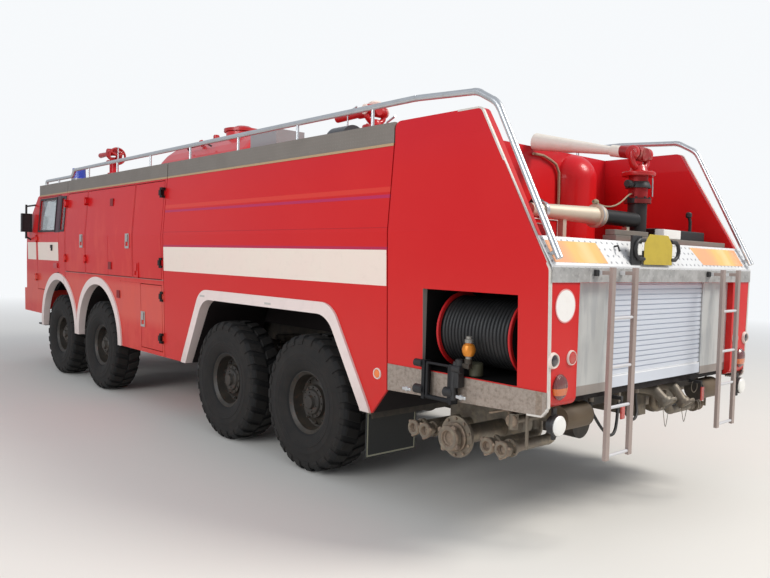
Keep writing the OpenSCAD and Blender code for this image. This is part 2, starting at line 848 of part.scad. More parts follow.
module monitor_head(m) {
    placed() color([0.72, 0.12, 0.12]) translate([m[0], m[1], m[2] + m[3] + seat_gap]) difference() {
        union() {
            cylinder(r = 130, h = 60);
            for (s = [-1, 1]) translate([-60, s * 105 - 20, 40]) cube([120, 40, 200]);
        }
        rod_y(0, -200, 200, head_z, trunnion_r + run_gap);
        translate([0, 0, -10]) cylinder(r = spigot_r + run_gap, h = 55);
    }
}

// Barrel on its trunnion, with a ring of a hand guard behind the mouth
module monitor_barrel(m, tilt) {
    placed() color([0.72, 0.12, 0.12]) translate([m[0], m[1], m[2] + m[3] + seat_gap + head_z]) {
        rod_y(0, -130, 130, 0, trunnion_r);
        rod_y(0, -78, 78, 0, 58);
        rotate([0, -tilt, 0]) {
            translate([-60, 0, 0]) rotate([0, 90, 0]) cylinder(r = 48, h = 310);
            translate([249, 0, 0]) rotate([0, 90, 0]) cylinder(r1 = 34, r2 = m[5], h = m[4] - 250);
        }
    }
}

module hatch_lid() {
    color([0.6, 0.1, 0.11]) placed() difference() {
        union() {
            translate([hatch_x, 0, hump_top + hatch_lift]) {
                cylinder(r = hatch_r, h = 40);
                translate([0, 0, 39]) cylinder(r1 = 200, r2 = 90, h = 50, $fn = 48);
            }
            rod_y(hatch_hinge[0], -34, 34, hatch_hinge[1], 16);
            box(hatch_x + hatch_r - 30, hatch_hinge[0], -34, 34, hatch_hinge[1] + 2, hatch_hinge[1] + 14);
        }
        rod_y(hatch_hinge[0], -60, 60, hatch_hinge[1], 8 + run_gap);
    }
}

// Rear fittings

// Aluminium plates of the tail, the frames beside the shutter and the two ladders
module rear_trim() {
    color([0.72, 0.73, 0.74]) placed() {
        across_y(-plate_half, plate_half) polygon([
            slope_foot + plate_off, slope_top + plate_off, slope_top + plate_skin, slope_foot + plate_skin
        ]);
        box(-9, -seat_gap, -plate_half, plate_half, 1822, slope_foot[1] + 7);
        both_sides() {
            box(recess - 30, recess, shutter_y + 4, panel_y, pump_z + 40, 1818);
            intersection() {
                side_slab(0, 1508, 900, 1130, 0, 8);
                across_y(half_w - 100, half_w) polygon([
                    [1500, 920], [1500, 1128], [8, 1128], [8, 1015], [45, 974]
                ]);
            }
        }
        for (y = [-ladder_y, ladder_y]) ladder(y);
    }
}

slat_pitch = 38;
slat_z = shutter_z + 90;

module shutter() {
    color([0.76, 0.79, 0.82]) placed() {
        box(recess - 10, recess + 10, -shutter_y, shutter_y, shutter_z, 1815);
        box(recess - 26, recess - 9, -shutter_y, shutter_y, shutter_z, slat_z - 8);
        for (k = [0:16]) translate([0, 0, slat_z + slat_pitch * k])
            box(recess - 18, recess - 9, -shutter_y, shutter_y, 0, slat_pitch - 8);
    }
}

ladder_y = 822;
ladder_half = 143;

// Ladder of two flat rails with round rungs, on its top brackets
module ladder(y) {
    for (s = [-1, 1]) {
        rail = y + s * ladder_half;
        box(-tail, 25 - tail, rail - 22, rail + 22, 645, 1925);
        box(24 - tail, -9 - seat_gap, rail - 18, rail + 18, 1875, 1900);
    }
    for (z = [672, 995, 1265, 1590]) rod_y(13 - tail, y - ladder_half, y + ladder_half, z, 11);
}

// Hose reel: two rims, the wound hose and the axle along the truck
module reel() {
    coil_r = 215;
    hose_r = 19;
    placed() translate([(reel_x[0] + reel_x[1]) / 2, 1150, 1430]) rotate([0, 90, 0]) {
        color([0.75, 0.12, 0.13]) for (z = [-330, 310]) translate([0, 0, z]) rotate_extrude()
            polygon([[20, 0], [262, 0], [262, 20], [20, 20]]);
        color([0.08, 0.08, 0.08]) rotate_extrude() {
            translate([20, -311]) square([coil_r - hose_r - 20, 622]);
            for (k = [-8:8]) translate([coil_r - hose_r - 4, 36 * k]) circle(r = hose_r);
        }
        translate([0, 0, -457]) cylinder(r = 30, h = 914);
    }
}

// Coupling at the end of a pipe that points out to the left: pipe, flange and open collar
module coupling(x, z, y0, y1, r, flange) {
    difference() {
        union() {
            rod_y(x, y0, y1 - 20, z, r);
            rod_y(x, y1 - 120, y1 - 95, z, flange);
            rod_y(x, y1 - 60, y1, z, r * 1.25);
        }
        rod_y(x, y1 - 90, y1 + 5, z, r * 0.9);
    }
}

// Columns: station, height, end of the pipe to the left, radius, radius of the flange
outlets = [[820, 680, 1500, 68, 150], [1142, 660, 1410, 42, 58], [1262, 660, 1410, 42, 58]];
drops = [520, 390];
drop_z = 678;
chest_y = [720, 900];
chest_x = [340, 620, 1350];
chest_z = [600, 800];

plate_y = wall_y(1125) + 8 + seat_gap;

// Pump outlets on their chest, two of them on bent pipes, with a valve and a post
module pump_fittings() {
    top = pump_z - seat_gap;
    both_sides() {
        box(chest_x[1], chest_x[2], chest_y[0], chest_y[1], chest_z[0], top);
        box(chest_x[0], chest_x[1] + 1, chest_y[0], chest_y[1], chest_z[1], top);
        for (c = outlets) coupling(c[0], c[1], chest_y[1] - 10, c[2], c[3], c[4]);
        for (x = drops) {
            pipe([[x, 850, chest_z[1] + 10], [x, 850, drop_z], [x, 1250, drop_z]], 38, 60);
            coupling(x, drop_z, 1240, 1430, 42, 62);
        }
        rod_y(400, chest_y[1] - 10, 1300, 860, 26);
        translate([400, 1290, 800]) cylinder(r = 34, h = 110);
        box(262, 278, 1300, 1316, 690, top);
    }
}

// Frame with rollers that guides the hose over the side
module hose_guide() {
    both_sides() {
        for (x = [755, 1025]) box(x, x + 30, plate_y, 1540, 935, 1215);
        rod_x(765, 1045, 1520, 955, 16);
        for (x = [795, 1015]) translate([x, 1520, 950]) cylinder(r = 14, h = 250);
        rod_x(765, 1045, 1520, 1200, 10);
    }
}

// Branch pipes stowed across the well, with a coupling and a length of hose
module branch_pipes() {
    floor_z = slope_top[1] + seat_gap;
    translate([320, 1300, 2300]) rotate([90, 0, 0]) cylinder(r1 = 42, r2 = 66, h = 780);
    rod_y(320, 470, 530, 2300, 84);
    rod_y(320, -40, 480, 2300, 58);
    for (y = [60, 900]) box(300, 340, y, y + 40, floor_z, 2300);
    box(308, 332, 490, 510, 2370, 2402);
    translate([520, 1330, 2330]) rotate([90, 0, 8]) cylinder(r = 40, h = 300);
    box(480, 560, 1180, 1220, floor_z, 2330);
}

module water_fittings() {
    color([0.55, 0.54, 0.5]) placed() {
        pump_fittings();
        hose_guide();
    }
    color([0.7, 0.68, 0.62]) placed() {
        branch_pipes();
        monitor_base(monitors[2], -seat_gap);
        box(348, 372, -90, -55, 2498, 2522);
        for (c = tail_caps) tail_cap(c[0], c[1]);
        for (y = cable_ends) translate([cable_x, y, cable_z]) cylinder(r = 20, h = pump_z - seat_gap - cable_z);
        box(cable_x - 22, cable_x + 6, 446, 474, 930, pump_z - seat_gap);
    }
}

// Capped couplings below the tail, by y and height of the cap
tail_caps = [[-100, 900], [-400, 860]];

module tail_cap(y, z) {
    pipe([[300 - seat_gap, y, 975], [120, y, 975], [30, y, z]], 40, 60);
    bar([38, y, z + 10], [10, y, z - 24], 56);
}

module arches() {
    color([0.93, 0.87, 0.86]) placed() both_sides() {
        for (i = [0, 1]) difference() {
            intersection() {
                side_slab(axle[i] - 900, axle[i] + 900, skirt_z, 1640, 200, 20);
                rod_y(axle[i], lip_y, 1600, arch_z, arch_r + lip_w);
            }
            rod_y(axle[i], 0, 1700, arch_z, arch_r);
            box(axle[i] - arch_r, axle[i] + arch_r, 0, 1700, 500, arch_z);
            box(0, 20000, 0, lip_y, 0, 3000);
            box(locker_front - 12, locker_front + 12, 0, 1700, 0, 3000);
        }
        difference() {
            intersection() {
                side_slab(1500, 5200, skirt_z, 1640, 200, 20);
                across_y(lip_y, 1600) arch_outline();
            }
            across_y(0, 1700) arch_outline(lip_w);
        }
    }
}

module lamps() {
    color([0.85, 0.2, 0.12]) placed() both_sides() {
        translate([-12, 1350, 1150]) rotate([0, 90, 0]) cylinder(r = 60, h = 12);
        translate([-12, 1230, 1335]) rotate([0, 90, 0]) cylinder(r = 45, h = 12);
        translate([-12, 1430, 1335]) rotate([0, 90, 0]) cylinder(r = 35, h = 12);
        translate([nose - 60, lamp_y, 1070]) rotate([0, 90, 0]) cylinder(r = 100, h = 45);
    }
    color([0.1, 0.2, 0.6]) placed() both_sides() beacon();
}

// Rotating beacon on its round base
module beacon() {
    translate([locker_front + 540, half_w - 400, deck_z]) {
        cylinder(r = 75, h = 150);
        translate([0, 0, 140]) cylinder(r = 118, h = 40);
        translate([0, 0, 179]) cylinder(r1 = 108, r2 = 100, h = 160);
    }
}

// Cords: a tube of eight sides swept along the points of its route
function ring_at(p, along, r, n) =
    let (side = unit(cross(along, [1, 0, 0.2])), up = cross(side, along))
    [for (k = [0:n - 1]) p + r * (cos(360 * k / n) * side + sin(360 * k / n) * up)];

function along_route(pts, i) =
    unit(pts[min(i + 1, len(pts) - 1)] - pts[max(i - 1, 0)]);

module swept_cord(pts, r, n = 8) {
    last = len(pts) - 1;
    polyhedron(
        points = [for (i = [0:last]) each ring_at(pts[i], along_route(pts, i), r, n)],
        faces = concat(
            [[for (k = [0:n - 1]) k]],
            [for (i = [0:last - 1], k = [0:n - 1])
                [n * i + k, n * (i + 1) + k, n * (i + 1) + (k + 1) % n, n * i + (k + 1) % n]],
            [[for (k = [n - 1:-1:0]) n * last + k]]));
}

// Smooth points between the chosen ones, by a spline through them
function spline(p, t) =
    let (i = min(floor(t), len(p) - 2), f = t - i,
        a = p[max(i - 1, 0)], b = p[i], c = p[i + 1], d = p[min(i + 2, len(p) - 1)])
    0.5 * (2 * b + (c - a) * f + (2 * a - 5 * b + 4 * c - d) * f * f + (3 * b - a - 3 * c + d) * f * f * f);

function smooth_route(p, parts) =
    concat([for (i = [0:len(p) - 2], k = [0:parts - 1]) spline(p, i + k / parts)], [p[len(p) - 1]]);

// Trailer cable below the tail, hung in two loops between its glands and a clip
cable_r = 11;
cable_x = 112;
cable_z = 985;
cable_ends = [195, 805];
cable_route = [
    [112, 195, 985], [112, 195, 935], [98, 206, 882], [78, 236, 838], [62, 288, 810], [58, 345, 812],
    [66, 394, 848], [84, 428, 900], [96, 460, 942], [84, 492, 900], [66, 530, 832], [50, 575, 766],
    [44, 625, 738], [48, 680, 750], [62, 735, 798], [84, 778, 866], [108, 803, 930], [112, 805, 985]
];

module tail_cable() {
    color([0.07, 0.07, 0.07]) placed() swept_cord(smooth_route(cable_route, 3), cable_r);
}

// Cord that ties the branch pipe to the foot of the rear monitor
rope_r = 6;
rope_route = [
    [360, -57, 2510], [358, -20, 2501], [353, 40, 2472], [347, 110, 2436], [340, 190, 2405],
    [334, 270, 2387], [329, 350, 2380], [324, 420, 2383], [320, 492, 2392]
];

module well_rope() {
    color([0.8, 0.75, 0.65]) placed() swept_cord(smooth_route(rope_route, 3), rope_r);
}

tyre_at(0);  // tyre_1l
right_side() tyre_at(0);  // tyre_1r
tyre_at(1);  // tyre_2l
right_side() tyre_at(1);  // tyre_2r
tyre_at(2);  // tyre_3l
right_side() tyre_at(2);  // tyre_3r
tyre_at(3);  // tyre_4l
right_side() tyre_at(3);  // tyre_4r
wheel_at(0);  // wheel_1l
right_side() wheel_at(0);  // wheel_1r
wheel_at(1);  // wheel_2l
right_side() wheel_at(1);  // wheel_2r
wheel_at(2);  // wheel_3l
right_side() wheel_at(2);  // wheel_3r
wheel_at(3);  // wheel_4l
right_side() wheel_at(3);  // wheel_4r
knuckle_at(0);  // knuckle_1l
right_side() knuckle_at(0);  // knuckle_1r
knuckle_at(1);  // knuckle_2l
right_side() knuckle_at(1);  // knuckle_2r
chassis();
cab_shell();
cab_glass();
cab_door();  // cab_door_l
right_side() cab_door();  // cab_door_r
door_glass();  // door_glass_l
right_side() door_glass();  // door_glass_r
cab_interior();
bumper();
mirrors();
locker_body();
locker_door(0);  // door_front_l
right_side() locker_door(0);  // door_front_r
locker_door(1);  // door_middle_l
right_side() locker_door(1);  // door_middle_r
locker_door(2);  // door_rear_l
right_side() locker_door(2);  // door_rear_r
locker_door(3);  // door_lower_l
right_side() locker_door(3);  // door_lower_r
tank_body();
rear_body();
kick_band();
handrails();
monitor_head(monitors[0]);  // monitor_front_head
monitor_barrel(monitors[0], 0);  // monitor_front_barrel
monitor_head(monitors[1]);  // monitor_mid_head
monitor_barrel(monitors[1], 0);  // monitor_mid_barrel
monitor_head(monitors[2]);  // monitor_rear_head
monitor_barrel(monitors[2], 11);  // monitor_rear_barrel
roof_fittings();
hatch_lid();
rear_trim();
shutter();
reel();  // reel_l
right_side() reel();  // reel_r
water_fittings();
arches();
lamps();
tail_cable();
well_rope();
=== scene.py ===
from math import cos, pi, radians, sin, tan

import bpy
from mathutils import Matrix, Vector


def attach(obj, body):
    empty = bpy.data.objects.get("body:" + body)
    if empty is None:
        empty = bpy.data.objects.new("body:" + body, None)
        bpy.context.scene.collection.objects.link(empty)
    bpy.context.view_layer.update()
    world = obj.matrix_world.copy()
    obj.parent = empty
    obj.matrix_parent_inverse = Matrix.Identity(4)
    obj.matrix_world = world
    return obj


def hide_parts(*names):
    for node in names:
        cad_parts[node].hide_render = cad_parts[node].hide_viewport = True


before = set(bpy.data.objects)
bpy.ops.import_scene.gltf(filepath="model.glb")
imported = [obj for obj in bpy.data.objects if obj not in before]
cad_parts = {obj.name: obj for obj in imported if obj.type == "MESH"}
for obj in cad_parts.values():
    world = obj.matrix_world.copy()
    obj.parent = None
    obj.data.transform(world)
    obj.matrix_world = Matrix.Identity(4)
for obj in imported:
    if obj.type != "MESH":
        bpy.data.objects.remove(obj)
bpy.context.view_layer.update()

# Camera, standing behind the left rear corner at eye height, as the photo was taken. Places are
# written as stations, metres forward from the tail, with y to the left and z up from the ground.
TAIL_X = -5.52


def at(station, y, z):
    return Vector((station + TAIL_X, y, z))


yaw, pitch, roll = radians(-41.68), radians(-2.36), radians(1.57)
look = Vector((cos(pitch) * cos(yaw), cos(pitch) * sin(yaw), sin(pitch)))
level = look.cross(Vector((0, 0, 1))).normalized()
upright = level.cross(look)
right = cos(roll) * level + sin(roll) * upright
above = cos(roll) * upright - sin(roll) * level
lens = bpy.data.cameras.new("camera")
lens.sensor_width = 36
lens.lens = 36 * 729.8 / 770
lens.clip_end = 400
camera = bpy.data.objects.new("camera", lens)
turn = Matrix((right, above, -look)).transposed().to_4x4()
camera.matrix_world = Matrix.Translation(at(-2.70, 5.26, 1.94)) @ turn
bpy.context.scene.collection.objects.link(camera)
bpy.context.scene.camera = camera


# Trailer cable, a rubber flex that hangs in two loops below the tail between two glands and a
# clip, and the braided cord that ties the branch pipe to the rear monitor.
class Signal:
    """A shader value that takes part in plain expressions."""

    def __init__(self, finish, socket):
        self.finish = finish
        self.socket = socket

    def _math(self, operation, *others):
        made = self.finish.node("Math", [self, *others], operation=operation)
        return Signal(self.finish, made.outputs[0])

    def __add__(self, other):
        return self._math("ADD", other)

    __radd__ = __add__

    def __sub__(self, other):
        return self._math("SUBTRACT", other)

    def __rsub__(self, other):
        return self * -1 + other

    def __mul__(self, other):
        return self._math("MULTIPLY", other)

    __rmul__ = __mul__

    def __truediv__(self, other):
        return self._math("DIVIDE", other)

    def above(self, edge):
        return self._math("GREATER_THAN", edge)

    def below(self, edge):
        return self._math("LESS_THAN", edge)

    def least(self, other):
        return self._math("MINIMUM", other)

    def most(self, other):
        return self._math("MAXIMUM", other)

    def clamp(self):
        return self.most(0).least(1)

    def size(self):
        return self._math("ABSOLUTE")

    def whole(self):
        return self._math("FLOOR")

    def part(self):
        return self._math("FRACT")

    def wave(self):
        return self._math("SINE")

    def root(self):
        return self._math("SQRT")

    def ramp(self, low, high):
        return ((self - low) / (high - low)).clamp()

    def within(self, low, high):
        return self.above(low) * self.below(high)


def paint(colour):
    """A colour as the eye reads it, 0 to 255, made linear."""
    return tuple(((v / 255 + 0.055) / 1.055) ** 2.4 if v > 10 else v / 3295 for v in colour) + (1.0,)


class Finish:
    """One procedural material, read from the places of the truck in metres."""

    def __init__(self, name, colour, roughness=0.5, metallic=0.0, coat=0.0):
        self.material = bpy.data.materials.new(name)
        self.material.use_nodes = True
        self.tree = self.material.node_tree
        self.shader = self.tree.nodes["Principled BSDF"]
        self.place = Signal(self, self.node("TexCoord").outputs["Object"])
        x, self.y, self.z = (Signal(self, s) for s in self.node("SeparateXYZ", [self.place]).outputs)
        self.x = x - TAIL_X
        self.colour = paint(colour)
        self.rough = roughness
        self.metal = metallic
        self.coat = coat
        self.bumps = None
        self.linked = False

    def node(self, kind, values=(), **settings):
        made = self.tree.nodes.new("ShaderNode" + kind)
        for key, value in settings.items():
            setattr(made, key, value)
        pairs = values.items() if isinstance(values, dict) else enumerate(values)
        for key, value in pairs:
            if isinstance(value, Signal):
                self.tree.links.new(value.socket, made.inputs[key])
            else:
                made.inputs[key].default_value = value
        return made

    def noise(self, scale, detail=3.0, stretch=None, rough=0.6):
        where = self.place
        if stretch:
            scaled = self.node("VectorMath", [where, stretch], operation="MULTIPLY")
            where = Signal(self, scaled.outputs[0])
        values = {"Vector": where, "Scale": scale, "Detail": detail, "Roughness": rough}
        return Signal(self, self.node("TexNoise", values).outputs[0])

    def over(self, amount, colour):
        """Lays a colour over what is there, as far as amount says."""
        mix = self.node("Mix", {0: amount, 6: self.colour, 7: paint(colour)}, data_type="RGBA")
        self.colour = Signal(self, mix.outputs[2])

    def spots(self, scale, detail, low, high, amount, colour):
        """Lays a colour over in spots, none where the noise is under low, whole where over high."""
        self.over(self.noise(scale, detail).ramp(low, high) * amount, colour)

    def rough_where(self, amount, roughness):
        self.rough = amount * (roughness - self.rough) + self.rough

    def raised(self, height, depth):
        """Adds a surface height of that depth in metres."""
        more = height * depth
        self.bumps = more if self.bumps is None else self.bumps + more

    def done(self):
        """The material, linked up the first time that it is asked for."""
        if self.linked:
            return self.material
        self.linked = True
        looks = {"Base Color": self.colour, "Roughness": self.rough, "Metallic": self.metal,
                 "Coat Weight": self.coat}
        for key, value in looks.items():
            if isinstance(value, Signal):
                self.tree.links.new(value.socket, self.shader.inputs[key])
            else:
                self.shader.inputs[key].default_value = value
        if self.bumps is not None:
            bump = self.node("Bump", {"Strength": 1.0, "Distance": 1.0, "Height": self.bumps})
            self.tree.links.new(bump.outputs[0], self.shader.inputs["Normal"])
        return self.material


def still(name, mesh_or_curve):
    made = bpy.data.objects.new(name, mesh_or_curve)
    bpy.context.scene.collection.objects.link(made)
    return made


def only(piece):
    bpy.ops.object.select_all(action="DESELECT")
    piece.select_set(True)
    bpy.context.view_layer.objects.active = piece


def route_curve(name, points, radius, sides=3):
    line = bpy.data.curves.new(name, "CURVE")
    line.dimensions = "3D"
    line.bevel_depth = radius
    line.bevel_resolution = sides
    line.use_fill_caps = True
    run = line.splines.new("POLY")
    run.points.add(len(points) - 1)
    for point, place in zip(run.points, points):
        point.co = (*place, 1)
    return still(name, line)


def smooth(points, parts):
    """The same even curve through the route's points as the solid has."""
    out = []
    last = len(points) - 1
    for i in range(last):
        a, b, c, d = (points[max(i - 1, 0)], points[i], points[i + 1], points[min(i + 2, last)])
        for k in range(parts):
            f = k / parts
            out.append(0.5 * (2 * b + (c - a) * f + (2 * a - 5 * b + 4 * c - d) * f * f
                              + (3 * b - a - 3 * c + d) * f ** 3))
    return out + [points[last]]


def run_length(points):
    return sum((b - a).length for a, b in zip(points, points[1:]))


def dress(piece, finish, slot, body="truck", *nodes):
    """Gives a piece its finish, the body that it rides on and the node it stands for. The slot is not used.
    """
    piece.data.materials.clear()
    piece.data.materials.append(finish.done())
    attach(piece, body)
    if nodes:
        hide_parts(*nodes)
    return piece


flex = Finish("cable_sheath", (28, 28, 29), roughness=0.55)
flex.over(flex.noise(60, 4) * 0.5, (70, 66, 60))
flex.raised(flex.noise(400), 0.0004)
cable_points = [at(x / 1000, y / 1000, z / 1000) for x, y, z in (
    (112, 195, 985), (112, 195, 935), (98, 206, 882), (78, 236, 838), (62, 288, 810), (58, 345, 812),
    (66, 394, 848), (84, 428, 900), (96, 460, 942), (84, 492, 900), (66, 530, 832), (50, 575, 766),
    (44, 625, 738), (48, 680, 750), (62, 735, 798), (84, 778, 866), (108, 803, 930), (112, 805, 985))]
cable_line = smooth(cable_points, 3)
cable = dress(route_curve("trailer_cable", cable_line, 0.011), flex, "cable_rubber", "truck",
              "tail_cable")
round(run_length(cable_line), 3)

braid = Finish("braided_cord", (176, 160, 132), roughness=0.85)
braid.over((braid.x * 900 + braid.y * 1400).wave() * 0.25 + 0.25, (120, 104, 82))
braid.raised((braid.x * 900 + braid.y * 1400).wave(), 0.0006)
rope_points = [at(x / 1000, y / 1000, z / 1000) for x, y, z in (
    (360, -57, 2510), (358, -20, 2501), (353, 40, 2472), (347, 110, 2436), (340, 190, 2405),
    (334, 270, 2387), (329, 350, 2380), (324, 420, 2383), (320, 492, 2392))]
rope_line = smooth(rope_points, 3)
rope = dress(route_curve("branch_cord", rope_line, 0.006), braid, "rope_cord", "truck",
             "well_rope")
round(run_length(rope_line), 3)


# Floor and light: a pale floor, a pale world, a large lamp high behind the right rear corner, as
# the sun stood, and a soft one on the left.
def cube(name, low, high, bevel=0.0):
    """A box between two corners, with eased edges."""
    low, high = Vector(low), Vector(high)
    bpy.ops.object.select_all(action="DESELECT")
    bpy.ops.mesh.primitive_cube_add(size=1, location=(low + high) / 2, scale=high - low)
    made = bpy.context.object
    made.name = name
    bpy.ops.object.transform_apply(location=True, rotation=True, scale=True)
    if bevel:
        soften(made, bevel)
    return made


def soften(piece, width, steps=2, angle=30):
    only(piece)
    edge = piece.modifiers.new("edge", "BEVEL")
    edge.width = width
    edge.segments = steps
    edge.limit_method = "ANGLE"
    edge.angle_limit = radians(angle)
    bpy.ops.object.modifier_apply(modifier="edge")
    return piece


bpy.ops.object.select_all(action="DESELECT")
bpy.ops.mesh.primitive_plane_add(size=120, location=(0, 0, -0.001))
floor = bpy.context.object
floor.name = "floor"
bpy.ops.object.transform_apply(location=True)
ground = Finish("pale_floor", (226, 222, 215), roughness=0.9)
ground.over(ground.noise(0.6, 4) * 0.25, (212, 208, 202))
ground.done()
reach = ((ground.x + TAIL_X) * (ground.x + TAIL_X) + ground.y * ground.y).root()
seen = Signal(ground, ground.node("LightPath").outputs["Is Camera Ray"])
glow = ground.node("Emission", {"Color": (0.93, 0.95, 0.97, 1), "Strength": 1.0})
blend = ground.node("MixShader", [reach.ramp(7, 24) * seen, Signal(ground, ground.shader.outputs[0]),
                                  Signal(ground, glow.outputs[0])])
ground.tree.links.new(blend.outputs[0], ground.tree.nodes["Material Output"].inputs["Surface"])
floor.data.materials.append(ground.material)

world = bpy.data.worlds.new("studio")
bpy.context.scene.world = world
world.use_nodes = True
sky = world.node_tree.nodes["Background"]
ray = world.node_tree.nodes.new("ShaderNodeLightPath")
choice = world.node_tree.nodes.new("ShaderNodeMix")
choice.data_type = "RGBA"
choice.inputs[6].default_value = (0.5, 0.53, 0.58, 1)
choice.inputs[7].default_value = (0.93, 0.95, 0.97, 1)
world.node_tree.links.new(ray.outputs["Is Camera Ray"], choice.inputs[0])
world.node_tree.links.new(choice.outputs[2], sky.inputs["Color"])
bpy.context.scene.view_settings.view_transform = "Standard"


def lamp(name, place, target, size, power, colour=(1, 1, 1)):
    light = bpy.data.lights.new(name, "AREA")
    light.shape = "SQUARE"
    light.size = size
    light.energy = power
    light.color = colour
    made = bpy.data.objects.new(name, light)
    made.location = place
    made.rotation_euler = (Vector(target) - Vector(place)).to_track_quat("-Z", "Y").to_euler()
    bpy.context.scene.collection.objects.link(made)


lamp("high_lamp", (-13, -6, 13), (-2, 0, 1.5), 5, 2050, (1.0, 0.97, 0.92))
lamp("left_lamp", (-4, 15, 7), (-1, 0, 1.5), 9, 1050, (0.95, 0.98, 1.0))


# Chassis: backbone tube, axle housings, rails and air springs in dark dirty paint. The mudflaps
# on it are rubber with a pale edge line.
def mixed_dark(name, tint, dust, dust_amount, roughness=0.6):
    made = Finish(name, tint, roughness=roughness)
    patch = made.noise(9, 6)
    low = made.z.ramp(1.3, 0.35)
    made.over((patch.ramp(0.42, 0.7) * 0.6 + low * 0.4) * dust_amount, dust)
    made.raised(made.noise(160), 0.0006)
    return made


def cover(finish, *nodes):
    """Gives CAD nodes a finish."""
    for node in nodes:
        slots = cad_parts[node].data.materials
        if not slots:
            slots.append(finish.done())
        for i in range(len(slots)):
            slots[i] = finish.done()


under = mixed_dark("chassis_paint", (34, 32, 30), (96, 84, 70), 0.65)
flap_zone = under.x.within(1.765, 1.7825) * under.z.below(0.72)
under.over(flap_zone, (34, 35, 34))
side_on = under.y.size()
line_in = (side_on.within(0.905, 1.42) * under.z.within(0.335, 0.672))
line_out = (side_on.within(0.892, 1.433) * under.z.within(0.322, 0.685))
under.over(flap_zone * (line_out - line_in).clamp(), (150, 148, 128))
tank_zone = under.x.below(0.3) * under.z.within(0.76, 1.0) * side_on.above(0.84)
under.over(tank_zone, (98, 82, 62))
cover(under, "chassis")


# Wheels: black steel discs with ten nuts, a stepped hub cover with its bolts and a lock ring,
# dusty at the bottom of the dish. One is lathed and copied to all eight axle ends.
AXLES = {"1": 9.26, "2": 7.61, "3": 4.11, "4": 2.66}
TRACK = 1.2625
AXLE_Z = 0.62


def mesh_of(name, points, edges, faces):
    shape = bpy.data.meshes.new(name)
    shape.from_pydata([tuple(p) for p in points], edges, faces)
    return still(name, shape)


def chain_of(name, points):
    """A mesh of edges from each point to the next."""
    return mesh_of(name, points, [(i, i + 1) for i in range(len(points) - 1)], [])


def reshape(piece, *steps):
    """Works on the whole mesh in edit mode, one (operator, settings) after another."""
    only(piece)
    bpy.ops.object.mode_set(mode="EDIT")
    for operator, settings in steps:
        bpy.ops.mesh.select_all(action="SELECT")
        operator(**settings)
    bpy.ops.object.mode_set(mode="OBJECT")
    return piece


OUTWARD = (bpy.ops.mesh.normals_make_consistent, {"inside": False})
WELD = (bpy.ops.mesh.remove_doubles, {"threshold": 0.00002})
Y_OUT = (0, 1, 0)


def lathe(name, profile, centre, axis, steps=64):
    """Turns a profile of (radius, distance along the axis) round the axis through centre."""
    axis = Vector(axis).normalized()
    side = axis.orthogonal().normalized()
    made = chain_of(name, [Vector(centre) + side * r + axis * t for r, t in profile])
    whole_turn = {"steps": steps, "angle": 2 * pi, "center": centre, "axis": axis}
    reshape(made, (bpy.ops.mesh.spin, whole_turn), WELD, OUTWARD)
    bpy.ops.object.shade_smooth_by_angle(angle=radians(32))
    return made


def drum(name, centre, axis, radius, length, bevel=0.0, sides=32):
    """A short closed cylinder from centre along axis, with eased rims."""
    inner = radius - bevel
    profile = [(0, 0), (inner, 0), (radius, bevel), (radius, length - bevel), (inner, length), (0, length)]
    return lathe(name, profile, centre, axis, sides)


def merge(name, pieces):
    only(pieces[0])
    for piece in pieces:
        piece.select_set(True)
    if len(pieces) > 1:
        bpy.ops.object.join()
    made = bpy.context.view_layer.objects.active
    made.name = name
    return made


def moved_copy(piece, name, shift=(0, 0, 0), flip_y=False):
    """A copy with its own mesh, shifted along, and mirrored to the right side with flip_y."""
    made = still(name, piece.data.copy())
    shift = Vector(shift)
    for v in made.data.vertices:
        p = v.co.copy()
        if flip_y:
            p.y = -p.y
        v.co = p + shift
    if flip_y:
        reshape(made, (bpy.ops.mesh.flip_normals, {}))
    return made


def circle(count, phase, radius):
    """Points round a circle, the first one phase steps on."""
    turns = [2 * pi * (k + phase) / count for k in range(count)]
    return [(radius * cos(a), radius * sin(a)) for a in turns]


home = at(AXLES["4"], TRACK, AXLE_Z)
rim = lathe("rim", [
    (0.2, -0.13), (0.284, -0.136), (0.289, -0.128), (0.262, -0.12), (0.2615, 0.118), (0.286, 0.127),
    (0.289, 0.136), (0.279, 0.138), (0.266, 0.124), (0.252, 0.112), (0.246, 0.04), (0.236, 0.012),
    (0.219, 0.006), (0.196, 0.02), (0.172, 0.024), (0.155, 0.036), (0.15, 0.05), (0.146, 0.068),
    (0.118, 0.074), (0.113, 0.088), (0.106, 0.094), (0.066, 0.097), (0.061, 0.108), (0.056, 0.122),
    (0.03, 0.125), (0.0, 0.125)], home, Y_OUT, 72)
parts = [rim]
for x, z in circle(10, 0.5, 0.2):
    spot = home + Vector((x, 0.012, z))
    parts.append(drum("nut", spot, Y_OUT, 0.0165, 0.026, 0.003, 6))
    parts.append(drum("stud", spot + Vector((0, 0.02, 0)), Y_OUT, 0.009, 0.018, 0.002, 10))
parts += [drum("hub_bolt", home + Vector((x, 0.066, z)), Y_OUT, 0.0085, 0.014, 0.0015, 6)
          for x, z in circle(12, 0, 0.131)]
parts += [drum("cap_bolt", home + Vector((x, 0.092, z)), Y_OUT, 0.0075, 0.011, 0.0015, 6)
          for x, z in circle(6, 0.3, 0.086)]
wheel = merge("wheel_proto", parts)

steel_black = mixed_dark("wheel_paint", (30, 29, 28), (72, 63, 52), 0.75, 0.5)
steel_black.spots(22, 4, 0.6, 0.72, 0.5, (104, 62, 44))

